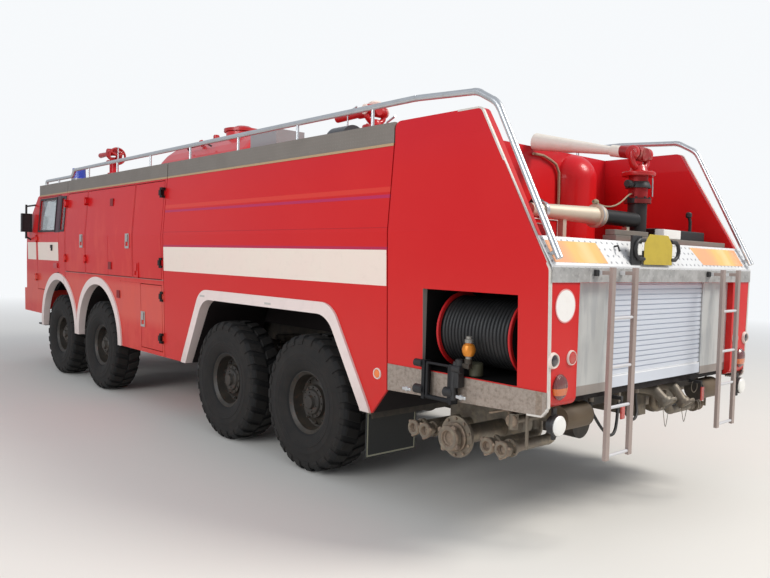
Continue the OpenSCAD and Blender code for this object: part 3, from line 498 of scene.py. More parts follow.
# Tyres: wide off-road tyres, each half of the tread a row of slanted lugs that run down the
# shoulder, smooth dusty side walls with a few moulded rings.
carcass = lathe("carcass", [
    (0.262, -0.12), (0.276, -0.128), (0.3, -0.15), (0.33, -0.168), (0.37, -0.18), (0.40, -0.1865),
    (0.405, -0.1835), (0.452, -0.187), (0.457, -0.184), (0.505, -0.184), (0.545, -0.177), (0.578, -0.165),
    (0.593, -0.145), (0.598, -0.1), (0.6, 0.0), (0.598, 0.1), (0.593, 0.145), (0.578, 0.165),
    (0.545, 0.177), (0.505, 0.184), (0.457, 0.184), (0.452, 0.187), (0.405, 0.1835), (0.40, 0.1865),
    (0.37, 0.18), (0.33, 0.168), (0.3, 0.15), (0.276, 0.128), (0.262, 0.12), (0.262, -0.12)],
    home, Y_OUT, 96)
LUGS = 26
lug_outer = [(0.012, 0.6195), (0.08, 0.6197), (0.142, 0.616), (0.1555, 0.607), (0.172, 0.585),
             (0.1865, 0.556), (0.1868, 0.53)]
lug_inner = [(0.012, 0.59), (0.08, 0.588), (0.132, 0.585), (0.14, 0.578), (0.15, 0.565), (0.165, 0.545),
             (0.17, 0.53)]
verts, faces = [], []
for side in (1, -1):
    for k in range(LUGS):
        middle = 2 * pi * (k + (0.5 if side < 0 else 0)) / LUGS
        first = len(verts)
        for line in (lug_outer, lug_inner):
            for spread in (-1, 1):
                for y, r in line:
                    skew = 0.085 * (1 - min(y / 0.15, 1.0))
                    half = 0.068 if r > 0.6 else 0.078
                    narrow = 0.86 if y > 0.16 else 1
                    a = middle + skew + spread * half * (0.62 / r) * narrow
                    verts.append(home + Vector((r * cos(a), side * y, r * sin(a))))
        n = len(lug_outer)
        rows = [[first + j * n + i for i in range(n)] for j in range(4)]
        for i in range(n - 1):
            for one, two in ((0, 1), (2, 0), (1, 3), (3, 2)):
                faces.append((rows[one][i], rows[one][i + 1], rows[two][i + 1], rows[two][i]))
        faces.append((rows[0][0], rows[1][0], rows[3][0], rows[2][0]))
        faces.append((rows[0][-1], rows[2][-1], rows[3][-1], rows[1][-1]))
lugs = soften(reshape(mesh_of("lugs", verts, [], faces), OUTWARD), 0.004, 1, 40)
tyre = merge("tyre_proto", [carcass, lugs])


def tyre_rubber(name, station):
    made = Finish(name, (17, 16, 16), roughness=0.85)
    dx = made.x - station
    dz = made.z - AXLE_Z
    radius = (dx * dx + dz * dz).root()
    dust = made.noise(7, 5, rough=0.65).ramp(0.35, 0.72)
    wall = radius.within(0.3, 0.585)
    made.over((dust * 0.5 + 0.15) * wall, (42, 36, 31))
    made.over(radius.above(0.612) * 0.5, (38, 34, 30))
    made.over(radius.within(0.575, 0.611) * 0.5, (16, 15, 15))
    rings = (radius * 420).wave() * radius.within(0.36, 0.4)
    made.raised(rings, 0.0008)
    made.raised(made.noise(300), 0.0005)
    return made


for key, station in AXLES.items():
    rubber = tyre_rubber(f"tyre_rubber_{key}", station)
    shift = Vector((station - AXLES["4"], 0, 0))
    for side in "lr":
        for proto, kind, slot, finish in ((wheel, "wheel", "wheel_black", steel_black),
                                          (tyre, "tyre", "tyre", rubber)):
            copy = moved_copy(proto, f"{kind}_shape_{key}{side}", shift, side == "r")
            dress(copy, finish, slot, f"wheel_{key}{side}", f"{kind}_{key}{side}")
for proto in (wheel, tyre):
    bpy.data.objects.remove(proto)
cover(under, "knuckle_1l", "knuckle_1r", "knuckle_2l", "knuckle_2r")


# Body panels: the cab shell, lockers, doors, tank and rear body are sheet metal in glossy red,
# with a painted reflection that turns it purple towards the top and lighter towards the bottom, more
# painted reflection in a low band and in patches on the sides forward of the tank, dusty along the
# skirts, black inside the wheel housings. Hinges, latches and catches are steel, black and dark red,
# told apart by how far they stand out from the wall.
RED = (201, 27, 30)
# The side walls are widest at the fold and lean in above it to the roof band and below it to the
# skirt. The bays of the hose reels are cut through them.
FOLD, BAND, SKIRT = 2.15, 2.835, 0.7
HALF_WIDTH, LEAN = 1.5, 0.05
BAY_FOOT, BAY_HEAD = 1.134, 1.731


def wall_at(z):
    if z >= BAND:
        return HALF_WIDTH - LEAN
    if z > FOLD:
        return HALF_WIDTH - LEAN * (z - FOLD) / (BAND - FOLD)
    return HALF_WIDTH - LEAN * (FOLD - z) / (FOLD - SKIRT)


def red_paint(name, proud=()):
    """Glossy red sheet metal. proud lists (from, to, colour, roughness, metallic) along the truck."""
    made = Finish(name, RED, roughness=0.3, coat=0.12)
    made.shader.inputs["Coat Roughness"].default_value = 0.08
    made.shader.inputs["Specular IOR Level"].default_value = 0.2
    made.spots(0.8, 4, 0.4, 0.75, 0.35, (210, 44, 40))
    # Painted reflection: purple towards the top of the panels and lighter orange red towards the bottom.
    made.over(made.z.ramp(2.6, 3.0) * 0.35, (186, 30, 52))
    made.over(made.z.ramp(2.2, 1.2) * 0.35, (208, 60, 52))
    # Painted reflection: a light salmon band low on the sides forward of the tank.
    painted_side_reflection = made.z.ramp(1.0, 1.12) * made.z.ramp(1.6, 1.5) * made.x.above(5.48)
    made.over(painted_side_reflection * 0.45, (216, 108, 92))
    dust = made.noise(5, 6).ramp(0.4, 0.8) * made.z.ramp(1.15, 0.68)
    made.over(dust * 0.3, (150, 80, 70))
    made.rough_where(dust, 0.6)
    made.raised(made.noise(2.2, 2), 0.0012)
    made.raised(made.noise(90, 2), 0.00003)
    upper = (made.z - FOLD) * (LEAN / (BAND - FOLD))
    lower = (FOLD - made.z) * (LEAN / (FOLD - SKIRT))
    out = made.y.size() - (HALF_WIDTH - upper.most(lower))
    # Painted reflection: light orange patches on the upper lean of the sides forward of the tank.
    painted_reflection_patches = made.noise(2.4, 4, stretch=(1.5, 1, 0.6)).ramp(0.48, 0.6) * made.z.ramp(2.75, 2.1)
    made.over(painted_reflection_patches * made.x.above(5.48) * 0.3, (222, 84, 62))
    deep = out.below(-0.02) * made.z.below(1.6) * (made.x.within(0.06, 5.48) + made.x.within(6.8, 10.3))
    made.over(deep, (30, 24, 24))
    made.rough_where(deep, 0.8)
    stands = out.above(0.0035)
    for low, high, tint, roughness, metallic in proud:
        zone = stands * made.x.within(low, high)
        made.over(zone, tint)
        made.rough_where(zone, roughness)
        if metallic:
            made.metal = zone * metallic + made.metal
    return made


BLACK = (30, 28, 28)
STEEL = (196, 196, 192)
DARK_RED = (128, 16, 18)
panel = red_paint("body_red")
on_tank = panel.x.within(1.515, 5.48)
crease = ((panel.z - 2.43) * 90).wave() * panel.z.within(2.413, 2.447)
panel.raised(crease * on_tank, 0.002)
# Painted reflection: a purple line along the crease, and above it a light orange band of painted highlight.
panel.over(panel.z.within(2.414, 2.44) * on_tank * 0.55, (162, 50, 110))
panel.over(panel.z.within(2.46, 2.5) * on_tank * 0.35, (226, 84, 62))
# Painted reflection: a purple fringe along the top edge of the stripe.
panel.over(panel.z.within(2.011, 2.034) * on_tank * 0.6, (156, 46, 96))
# Painted shade: a thin dark line just above the fold.
panel.over(panel.z.within(2.18, 2.186) * on_tank * 0.5, (140, 24, 36))
across = panel.y.size()
inside = (across + (FOLD - panel.z) * (LEAN / (FOLD - SKIRT))).below(HALF_WIDTH - 0.003)
bay_height = panel.z.within(BAY_FOOT, BAY_HEAD)
in_bay = panel.x.within(0.2, 1.1205) * bay_height * across.above(0.79) * inside
panel.over(in_bay, (15, 14, 14))
panel.rough_where(in_bay, 0.7)
panel.coat = in_bay * -0.12 + 0.12
bay_edge = panel.x.within(1.1195, 1.1208) * bay_height * across.above(1.44)
panel.over(bay_edge, (150, 146, 140))
cover(panel, "tank_body", "rear_body")
cab_red = red_paint("cab_red", [(10.32, 11.2, BLACK, 0.5, 0)])
pillar = cab_red.x.within(9.17, 9.425) * cab_red.z.within(2.215, 2.785) * cab_red.y.size().above(1.4)
cab_red.over(pillar, (62, 18, 34))
cover(cab_red, "cab_shell", "cab_door_l", "cab_door_r")
locker_red = red_paint("locker_red", [(5.46, 5.62, BLACK, 0.5, 0), (6.78, 6.92, DARK_RED, 0.4, 0)])
seam = locker_red.z.within(1.606, 1.624) * locker_red.y.size().above(1.44)
locker_red.over(seam * 0.7, (150, 118, 112))
cover(locker_red, "locker_body")
doors = {
    "front": [(8.1, 8.3, STEEL, 0.35, 0.8)],
    "middle": [(6.42, 6.7, STEEL, 0.35, 0.8), (7.05, 7.25, DARK_RED, 0.4, 0)],
    "rear": [(5.46, 5.62, BLACK, 0.5, 0)],
    "lower": [(5.46, 5.62, BLACK, 0.5, 0), (6.0, 6.15, STEEL, 0.35, 0.8)],
}
for key, zones in doors.items():
    skin = red_paint(f"door_{key}_red", zones)
    cover(skin, f"door_{key}_l", f"door_{key}_r")


# Stripes: thin sheets of off-white film on both sides of the tank and a band round the cab, plain
# all over. They follow the lean of the side walls and stand 1.6 mm proud.
SIDES = ((1, "l"), (-1, "r"))
FILM_GAP, FILM_THICK = 0.0004, 0.0012


def pushed(push):
    return bpy.ops.mesh.extrude_region_move, {"TRANSFORM_OT_translate": {"value": push}}


def outline(name, points, push, bevel=0.0):
    """A flat outline pushed into a solid plate by the vector push."""
    made = mesh_of(name, points, [], [list(range(len(points)))])
    reshape(made, pushed(push), OUTWARD)
    if bevel:
        soften(made, bevel)
    return made


def wall_strip(name, s0, s1, z0, z1, gap, thick, side):
    """A strip that follows the leaning side wall, gap clear of it and thick through."""
    steps = [z0] + [z for z in (FOLD, BAND) if z0 < z < z1] + [z1]
    line = [at(s0, side * (wall_at(z) + gap), z) for z in steps]
    line += [at(s0, side * (wall_at(z) + gap + thick), z) for z in reversed(steps)]
    return outline(name, line, (s1 - s0, 0, 0))


film = Finish("stripe_film", (236, 220, 206), roughness=0.4, coat=0.1)
film.spots(1.4, 3, 0.4, 0.7, 0.3, (240, 206, 198))
film.spots(12, 5, 0.55, 0.8, 0.2, (202, 190, 176))
for side, key in SIDES:
    for name, s0, s1, z0, z1, body in (("side_stripe", 1.524, 5.474, 1.73, 2.01, "truck"),
                                       ("cab_band_door", 9.236, 10.25, 1.77, 2.06, f"cab_door_{key}"),
                                       ("cab_band_front", 10.36, 10.82, 1.77, 2.06, "truck")):
        sheet = wall_strip(f"{name}_{key}", s0, s1, z0, z1, FILM_GAP, FILM_THICK, side)
        dress(sheet, film, "arch_white", body)


# Wheel arch lips: pale moulded flares fixed along the edge of each arch, a little pink with age and
# scuffed along the lower ends.
lip = Finish("arch_white", (232, 214, 208), roughness=0.4, coat=0.2)
lip.spots(6, 5, 0.5, 0.8, 0.4, (204, 188, 184))
lip.over(lip.z.ramp(1.0, 0.7) * lip.noise(20, 4) * 0.5, (150, 136, 126))
cover(lip, "arches")


# Tread plate: the kick band round the roof, the sloped plate, strips and skirts of the tail are
# aluminium plate with rows of short raised bars that turn by turns left and right.
def tread_marks(made, u, v, pitch_u, pitch_v, thin=90):
    a = u / pitch_u
    b = v / pitch_v
    odd = ((a.whole() + b.whole()) * 0.5).part() * 4 - 1
    fu = a.part() - 0.5
    fv = b.part() - 0.5
    along = fu + odd * fv
    cross = fv - odd * fu
    return (1 - (along * along) * 6.2 - (cross * cross) * thin).clamp()


worn = Finish("worn_tread_plate", (132, 124, 116), roughness=0.5, metallic=0.35)
bars = tread_marks(worn, worn.x, worn.z, 0.034, 0.03)
worn.over(bars * 0.45, (164, 158, 150))
worn.spots(3, 6, 0.4, 0.75, 0.4, (112, 104, 96))
strip = worn.z.below(2.838)
worn.over(strip, (188, 158, 122))
worn.raised(bars, 0.0012)
cover(worn, "kick_band")

bright = Finish("plate_aluminium", (222, 222, 222), roughness=0.42, metallic=0.3)
marks = tread_marks(bright, bright.y, bright.z, 0.068, 0.045, 16)
tall = bright.z.above(1.8) * bright.x.above(-0.05)
bright.over(marks * tall * 0.85, (104, 106, 114))
under_edge = bright.z.within(1.8, 1.918) * bright.x.within(-0.0095, 0.0)
bright.over(under_edge * 0.8, (142, 140, 136))
bright.over(under_edge * marks * 0.7, (196, 194, 190))
bright.over(under_edge * bright.noise(9, 6).ramp(0.42, 0.62) * 0.6, (196, 194, 192))
bright.over(under_edge * bright.noise(16, 5).ramp(0.55, 0.7) * 0.6, (108, 106, 106))
frames_zone = bright.x.within(0.04, 0.09) * bright.z.below(1.82)
bright.over(frames_zone * 0.7, (192, 194, 190))
streaks = bright.noise(3, 4, stretch=(1, 4, 0.6)).ramp(0.5, 0.62)
bright.over(frames_zone * streaks * 0.4, (156, 160, 164))
bright.over(frames_zone * bright.z.below(1.125) * 0.7, (134, 116, 104))
bright.spots(4, 5, 0.45, 0.8, 0.25, (176, 172, 166))
skirt = bright.y.size().above(1.42) * bright.z.below(1.14)
bright.over(skirt * 0.85, (146, 128, 112))
skirt_bars = tread_marks(bright, bright.x, bright.z, 0.036, 0.032, 40) * skirt
bright.over(skirt_bars * 0.6, (176, 160, 146))
bright.over(skirt * bright.noise(34, 4).ramp(0.45, 0.7) * 0.6, (104, 90, 78))
rails = bright.x.below(-0.05)
bright.over(rails * 0.85, (150, 128, 118))
rungs = rails * bright.y.size().within(0.703, 0.941)
bright.over(rungs * 0.9, (214, 214, 216))
bright.raised(marks * tall + skirt_bars, 0.001)
cover(bright, "rear_trim")

tube = Finish("rail_aluminium", (204, 206, 208), roughness=0.3, metallic=0.8)
tube.spots(14, 4, 0.5, 0.8, 0.3, (160, 156, 150))
cover(tube, "handrails")

slats = Finish("shutter_aluminium", (212, 217, 226), roughness=0.42, metallic=0.3)
gaps = ((slats.z - 1.164) / 0.038).part().above(0.78) * slats.z.above(1.164)
slats.over(gaps * 0.2, (150, 158, 178))
slats.over(slats.noise(3, 4, stretch=(1, 1, 3)).ramp(0.45, 0.8) * 0.2, (192, 196, 204))
# Painted highlight: a near-white line along the bottom rail of the shutter.
slats.over(slats.z.within(1.15, 1.166) * 0.8, (250, 250, 250))
cover(slats, "shutter")


# Windows and cab: tinted glass held in black rubber seals, seats and dashboard in dark cloth, black
# plastic mirrors, and a steel bumper that is painted red above and black below.
pane = Finish("window_glass", (190, 204, 208), roughness=0.05)
pane.shader.inputs["Alpha"].default_value = 0.35
pane.shader.inputs["Coat Weight"].default_value = 1.0
pane.coat = 1.0
cover(pane, "cab_glass", "door_glass_l", "door_glass_r")

cloth = Finish("seat_cloth", (58, 58, 62), roughness=0.9)
weave = (cloth.x * 1800).wave() * (cloth.y * 1800).wave()
cloth.over(weave * 0.3 + 0.2, (84, 84, 90))
cloth.raised(weave, 0.0005)
cover(cloth, "cab_interior")

plastic = Finish("trim_black", (34, 33, 34), roughness=0.5)
plastic.spots(30, 4, 0.5, 0.8, 0.3, (62, 58, 54))
plastic.raised(plastic.noise(500), 0.0002)
cover(plastic, "mirrors")

front_red = red_paint("bumper_red")
front_red.over(front_red.z.below(0.87), (34, 33, 34))
cover(front_red, "bumper")
SEAL, SEAL_THICK = 0.03, 0.006
for side, key in SIDES:
    for part, s0, s1, body in (("door", 9.405, 10.255, f"cab_door_{key}"), ("quarter", 8.972, 9.19, "truck")):
        z0, z1 = 2.225, 2.775
        bars = [wall_strip("seal", *ends, FILM_GAP, SEAL_THICK, side)
                for ends in ((s0, s1, z1 - SEAL, z1), (s0, s1, z0, z0 + SEAL),
                             (s0, s0 + SEAL, z0 + SEAL, z1 - SEAL), (s1 - SEAL, s1, z0 + SEAL, z1 - SEAL))]
        dress(merge(f"window_seal_{key}_{part}", bars), plastic, "trim_black", body)


# Monitors and roof: red painted castings and the pale foam tube of the rear monitor, the long roof
# cover with a grey box and a black drum behind it, and the lamps, blue where they are beacons.
cast = Finish("monitor_red", (184, 22, 24), roughness=0.35, coat=0.3)
cast.spots(16, 4, 0.5, 0.8, 0.35, (140, 20, 22))
cast.raised(cast.noise(200), 0.0003)
cover(cast, "monitor_front_barrel", "monitor_mid_barrel", "hatch_lid")
shaft = Finish("foam_tube", (226, 218, 206), roughness=0.45, coat=0.1)
shaft.over(shaft.x.below(0.52), (150, 22, 24))
shaft.spots(14, 5, 0.5, 0.8, 0.4, (196, 180, 160))
cover(shaft, "monitor_rear_barrel")

roof = Finish("roof_red", (212, 40, 44), roughness=0.3, coat=0.3)
roof.spots(2, 4, 0.4, 0.8, 0.3, (226, 84, 84))
grey_box = roof.x.below(4.6)
roof.over(grey_box, (150, 150, 150))
roof.over(roof.x.below(3.2), (52, 52, 54))
cover(roof, "roof_fittings")

lens_mix = Finish("lamp_lens", (170, 28, 20), roughness=0.15, coat=0.8)
lens_mix.over(lens_mix.z.within(1.125, 1.155), (216, 120, 40))
lens_mix.over(lens_mix.z.above(2.9), (150, 152, 156))
lens_mix.over(lens_mix.z.above(3.0995), (34, 62, 178))
ribs = ((lens_mix.x * 500).wave() + (lens_mix.y * 500).wave()) * lens_mix.z.above(3.1)
lens_mix.raised(ribs, 0.0006)
cover(lens_mix, "lamps")


# Hose reels: black rubber hose wound in even turns on a drum between two red steel rims. Each reel
# is lathed as one piece and turns on its shaft in an open bay.
REEL_X, REEL_Y, REEL_Z = 0.6825, 1.15, 1.43
reel = Finish("reel_and_hose", (26, 26, 27), roughness=0.5)
HOSE_EDGE = 0.254
dy = reel.y.size() - REEL_Y
dz = reel.z - REEL_Z
radius = (dy * dy + dz * dz).root()
reel.over(radius.above(HOSE_EDGE), (190, 24, 26))
reel.over(reel.noise(6, 4).ramp(0.45, 0.7) * radius.below(HOSE_EDGE) * 0.4, (52, 50, 50))
reel.raised(reel.noise(120), 0.0004)
hose_line = [(0.0, -0.43), (0.03, -0.43), (0.03, -0.338), (0.277, -0.338), (0.282, -0.334), (0.282, -0.322),
             (0.277, -0.318), (0.236, -0.318)]
for k in range(20):
    middle = -0.304 + 0.032 * k
    hose_line += [(0.236 + 0.016 * sin(pi * j / 6), middle - 0.016 * cos(pi * j / 6))
                  for j in range(7)]
hose_line += [(0.236, 0.323), (0.277, 0.323), (0.282, 0.327), (0.282, 0.339), (0.277, 0.343),
              (0.03, 0.343), (0.03, 0.43), (0.0, 0.43)]
for side, key in SIDES:
    wound = lathe(f"hose_reel_{key}", hose_line, at(REEL_X, side * REEL_Y, REEL_Z), (1, 0, 0), 72)
    dress(wound, reel, "reel_red", f"reel_{key}", f"reel_{key}")


# Water fittings: couplings, valves and branch pipes in dull brass, cast grey and beige canvas,
# stained with rust and road dirt.
metal = Finish("valve_metal", (128, 120, 108), roughness=0.5, metallic=0.45)
metal.spots(9, 6, 0.4, 0.7, 0.6, (92, 74, 60))
metal.over(metal.y.size().above(1.2) * metal.z.below(0.9) * 0.6, (124, 112, 98))
metal.over(metal.noise(14, 5).ramp(0.5, 0.65) * metal.z.below(0.95) * 0.5, (158, 146, 124))
well = metal.z.above(2.1)
metal.over(well, (206, 192, 172))
PIPE_X, PIPE_Y = 0.36, -0.15
foot_x = metal.x - PIPE_X
foot_y = metal.y - PIPE_Y
foot = (foot_x * foot_x + foot_y * foot_y).root().below(0.2) * well
metal.over(foot, (48, 42, 42))
metal.over(foot * metal.z.within(2.436, 2.47), (120, 34, 32))
metal.over(foot * metal.z.above(2.48), (152, 26, 28))
hose_black = well * metal.y.within(-0.05, 0.468) * metal.z.above(2.24)
metal.over(hose_black, (30, 30, 31))
guide = metal.z.within(0.93, 1.22) * metal.y.size().above(1.462)
metal.over(guide, (32, 32, 34))
metal.raised(metal.noise(90), 0.0006)
cover(metal, "water_fittings")


# Edge strips: pale aluminium channel pressed over the rear edge of each wing. It starts at the top
# corner, runs down the slant and turns under the corner of the skirt plate.
def rounded(points, radius, steps=6):
    """A flat line of points with its inner corners rounded."""
    out = [Vector(points[0])]
    for a, b, c in zip(points, points[1:], points[2:]):
        a, b, c = Vector(a), Vector(b), Vector(c)
        u, v = (a - b).normalized(), (c - b).normalized()
        half = u.angle(v) / 2
        centre = b + (u + v).normalized() * (radius / sin(half))
        start = b + u * (radius / tan(half)) - centre
        end = b + v * (radius / tan(half)) - centre
        out += [centre + start.lerp(end, k / steps).normalized() * radius for k in range(steps + 1)]
    return out + [Vector(points[-1])]


def ribbon(name, line, across, thick):
    """A strip along the line, across wide and thick through."""
    made = reshape(chain_of(name, line), pushed(across), OUTWARD)
    wall = made.modifiers.new("wall", "SOLIDIFY")
    wall.thickness = thick
    wall.offset = 0
    bpy.ops.object.modifier_apply(modifier="wall")
    return soften(made, 0.0015, 1)


def rod(name, points, radius, sides=3):
    """A round bar through the points, as a mesh."""
    made = route_curve(name, points, radius, sides)
    only(made)
    bpy.ops.object.convert(target="MESH")
    return bpy.context.view_layer.objects.active


def both(piece, finish, slot, body="truck"):
    """Dresses the piece for the left side and a mirrored copy of it for the right."""
    name = piece.name
    twin = moved_copy(piece, name + "_r", flip_y=True)
    piece.name = name + "_l"
    dress(piece, finish, slot, body)
    dress(twin, finish, slot, body)


channel = Finish("edge_channel", (214, 208, 200), roughness=0.4, metallic=0.2)
channel.spots(12, 4, 0.5, 0.8, 0.4, (176, 166, 154))
edge = rounded([(0.86, 2.9965), (0.6415, 2.9965), (0.0035, 1.905), (0.0035, 1.03)], 0.057)
edge += rounded([(0.009, 1.02), (0.011, 1.008), (0.047, 0.971), (0.16, 0.966)], 0.01, 3)
edge_line = [at(s, wall_at(z) + (0.002 if z > 1.024 else 0.0095), z) for s, z in edge]
both(ribbon("wing_edge", edge_line, (0, -0.024, 0), 0.013), channel, "rail_aluminium")


# Plate between the wings: orange reflecting film on both ends, the upright blank number plate on
# its stays between two black loops with white lamps, and the dark pegs that the ladders hang on.
slope_low, slope_high = at(-0.009, 0, 1.931), at(0.107, 0, 2.116)
slope_up = slope_high - slope_low
slope_normal = Vector((-slope_up.z, 0, slope_up.x)).normalized()


def on_slope(y, share, lift=0.0):
    return slope_low + slope_up * share + Vector((0, y, 0)) + slope_normal * lift


def slope_sheet(name, corners, lift, thick, bevel=0.0):
    return outline(name, [on_slope(y, share, lift) for y, share in corners], slope_normal * thick, bevel)


reflecting = Finish("reflecting_film", (236, 186, 106), roughness=0.35, coat=0.1)
sway = (reflecting.y * 9 + reflecting.noise(3, 2) * 3).wave()
reflecting.over(sway.ramp(-0.2, 0.9) * 0.75, (234, 158, 122))
reflecting.over((sway * -1).ramp(0.6, 1.0) * 0.5, (240, 214, 160))
sheets = [slope_sheet("film_a", [(0.83, 0.1), (1.44, 0.1), (1.44, 0.85), (0.86, 0.85)],
                      FILM_GAP, FILM_THICK),
          slope_sheet("film_b", [(-1.36, 0.16), (-0.6, 0.16), (-0.52, 0.9), (-1.36, 0.9)],
                      FILM_GAP, FILM_THICK)]
dress(merge("reflecting_panels", sheets), reflecting, "lamp_red")

ochre = Finish("number_plate_ochre", (190, 166, 52), roughness=0.5)
ochre.spots(9, 5, 0.45, 0.75, 0.5, (164, 138, 44))
plate_edge = [(-0.01, 1.95), (0.4, 1.95), (0.4, 2.1), (0.33, 2.17), (0.06, 2.17), (-0.01, 2.1)]
plate_line = [at(-0.018, y, z) for y, z in plate_edge]
dress(outline("number_plate", plate_line, Vector((-0.004, 0, 0)), 0.0015), ochre, "lamp_red")
loops = [cube("back", at(-0.008, 0.41, 1.948), at(0.012, 0.54, 2.155), 0.003),
         cube("post", at(-0.0165, 0.05, 1.965), at(0.03, 0.34, 2.03), 0.002),
         cube("stay", at(0.0, 0.05, 2.03), at(0.085, 0.07, 2.05), 0.002),
         cube("stay", at(0.0, 0.32, 2.03), at(0.085, 0.34, 2.05), 0.002)]
for y0, sign in ((0.4, 1), (-0.01, -1)):
    bend = [(-0.01, 2.125), (0.06, 2.125), (0.1, 2.1), (0.115, 2.06), (0.1, 2.015), (0.06, 1.99),
            (-0.01, 1.99)]
    loops.append(rod("loop", [at(-0.014, y0 + sign * y, z) for y, z in bend], 0.015))
for y, z in ((1.0, 1.886), (-0.64, 1.886)):
    loops.append(cube("peg", at(-0.03, y - 0.018, z - 0.022), at(-0.0085, y + 0.018, z + 0.022), 0.003))
hook = [on_slope(0.64, 0.75, 0.004), on_slope(0.64, 0.7, 0.03), on_slope(0.655, 0.5, 0.03)]
loops.append(rod("hook", hook, 0.007))
dress(merge("plate_lamp_loops", loops), plastic, "trim_black")
milk = Finish("lamp_white", (238, 236, 230), roughness=0.3, coat=0.4)
milk.over(milk.noise(60, 3) * 0.2, (206, 206, 202))
inserts = [cube("insert", at(-0.012, 0.412, 2.015), at(0.004, 0.472, 2.1), 0.006),
           cube("insert", at(-0.012, -0.082, 2.015), at(0.004, -0.022, 2.1), 0.006)]
dress(merge("plate_lamps", inserts), milk, "shutter_aluminium")


# Tail lamps: on each corner panel a dark lamp in a white ring, a reflector in a pale ring and an
# oval lamp with an orange band. A white lamp hangs on a bracket below. The round sign stays blank.
X_BACK = (-1, 0, 0)


def ring(name, centre, inner, outer, depth, axis=X_BACK, sides=40):
    low = depth * 0.35
    return lathe(name, [(inner, 0), (outer, 0), (outer, low), (outer - low, depth), (inner + low, depth),
                        (inner, low), (inner, 0)], centre, axis, sides)


def lens_cap(name, centre, radius, depth, axis=X_BACK):
    """A domed lens."""
    dome = [(0, 0), (1, 0), (1, 0.3), (0.86, 0.72), (0.5, 0.95), (0, 1)]
    return lathe(name, [(radius * r, depth * t) for r, t in dome], centre, axis, 40)


pale = Finish("lamp_ring", (228, 214, 204), roughness=0.35)
pale.spots(40, 4, 0.5, 0.8, 0.4, (196, 170, 156))
rings = merge("lamp_rings", [ring("a", at(-0.0005, 1.43, 1.33), 0.034, 0.053, 0.02),
                             ring("b", at(-0.0005, 1.23, 1.335), 0.038, 0.05, 0.014)])
both(rings, pale, "trim_black")
glass_dark = Finish("lamp_dark", (34, 26, 30), roughness=0.12, coat=0.8)
glass_dark.over(glass_dark.noise(50) * 0.2, (70, 50, 54))
both(lens_cap("dark_lamp", at(-0.012, 1.43, 1.33), 0.035, 0.008), glass_dark, "lamp_red")
glass_red = Finish("lamp_red_lens", (188, 52, 44), roughness=0.2, coat=0.7)
cross = (glass_red.y * 700).wave() * (glass_red.z * 700).wave()
glass_red.over(cross.ramp(0.2, 0.9) * 0.4, (222, 112, 92))
glass_red.raised(cross, 0.0004)
low_red = cube("low_reflector", at(-0.03, 0.585, 0.86), at(-0.016, 0.635, 0.972), 0.006)
both(merge("reflectors", [lens_cap("r", at(-0.012, 1.23, 1.335), 0.04, 0.006), low_red]), glass_red,
     "lamp_red")
amber_lens = Finish("tail_lens", (104, 48, 46), roughness=0.2, coat=0.7)
amber_lens.over(amber_lens.z.within(1.105, 1.15), (208, 104, 34))
ribs = (amber_lens.y * 640).wave()
amber_lens.over(ribs.ramp(0.2, 0.9) * 0.25, (150, 90, 84))
amber_lens.raised(ribs, 0.0005)
oval = lens_cap("tail_lamp", at(-0.0005, 1.35, 1.155), 0.07, 0.034)
for v in oval.data.vertices:
    v.co.z = 1.155 + (v.co.z - 1.155) * 1.19
both(oval, amber_lens, "lamp_red")
both(lens_cap("low_lamp", at(-0.018, 1.365, 0.91), 0.066, 0.022), milk, "shutter_aluminium")
hanger = merge("low_lamp_bracket", [
    ring("rim", at(0.0, 1.365, 0.91), 0.06, 0.071, 0.022),
    drum("bowl", at(0.05, 1.365, 0.91), X_BACK, 0.06, 0.06, 0.012),
    cube("strap", at(0.012, 1.345, 0.96), at(0.03, 1.385, 1.0195), 0.003),
    cube("foot", at(0.01, 1.35, 0.815), at(0.03, 1.38, 0.86), 0.003),
    cube("hang", at(-0.016, 0.6, 0.86), at(-0.008, 0.62, 1.0), 0.002),
    cube("arm", at(-0.016, 0.595, 0.995), at(0.09, 0.625, 1.0195), 0.002)])
both(hanger, plastic, "trim_black")
sign = Finish("sign_white", (240, 236, 232), roughness=0.35)
from_centre = ((sign.y - 1.315) * (sign.y - 1.315) + (sign.z - 1.672) * (sign.z - 1.672)).root()
sign.over(from_centre.above(0.101) * 0.75, (214, 96, 92))
sign.spots(18, 4, 0.5, 0.8, 0.2, (206, 198, 190))
dress(drum("round_sign", at(-0.0005, 1.315, 1.672), X_BACK, 0.11, 0.003, 0.0008, 48), sign,
      "shutter_aluminium")

marker = Finish("marker_orange", (236, 120, 52), roughness=0.25, coat=0.5)
marker.raised((marker.x * 500).wave(), 0.0004)
marker.over(marker.noise(40) * 0.25, (250, 160, 90))
marker_at = at(1.63, wall_at(1.03) - 0.001, 1.03)
both(lens_cap("side_marker", marker_at, 0.034, 0.016, Y_OUT), marker, "lamp_red")
both(ring("side_marker_ring", marker_at, 0.033, 0.046, 0.01, Y_OUT), pale, "trim_black")
tag = Finish("blank_tag", (196, 190, 184), roughness=0.5)
tag.over(tag.noise(60, 3) * 0.4, (160, 150, 146))
tags = [wall_strip("tag", s, s + 0.11, 1.476, 1.496, 0.0204, 0.001, 1) for s in (4.44, 3.14)]
both(merge("arch_tags", tags), tag, "arch_white")


# Cab door details: a black plastic pull handle on a short stem that is fixed on the band, and below
# it a red painted metal cover over the lock. Both ride on the door.
for side, key in SIDES:
    y = side * (wall_at(2.0) + 0.013)
    pull = [cube("pull", at(9.5, y - 0.012, 1.965), at(9.56, y + 0.012, 2.02), 0.006),
            cube("stem", at(9.515, y - 0.014, 1.925), at(9.54, y + 0.008, 1.97), 0.004)]
    dress(merge(f"door_pull_{key}", pull), plastic, "trim_black", f"cab_door_{key}")
    y = side * (wall_at(1.7) + 0.008)
    lock = cube(f"door_lock_{key}", at(9.27, y - 0.012, 1.655), at(9.45, y + 0.012, 1.735), 0.008)
    dress(lock, cast, "monitor_red", f"cab_door_{key}")


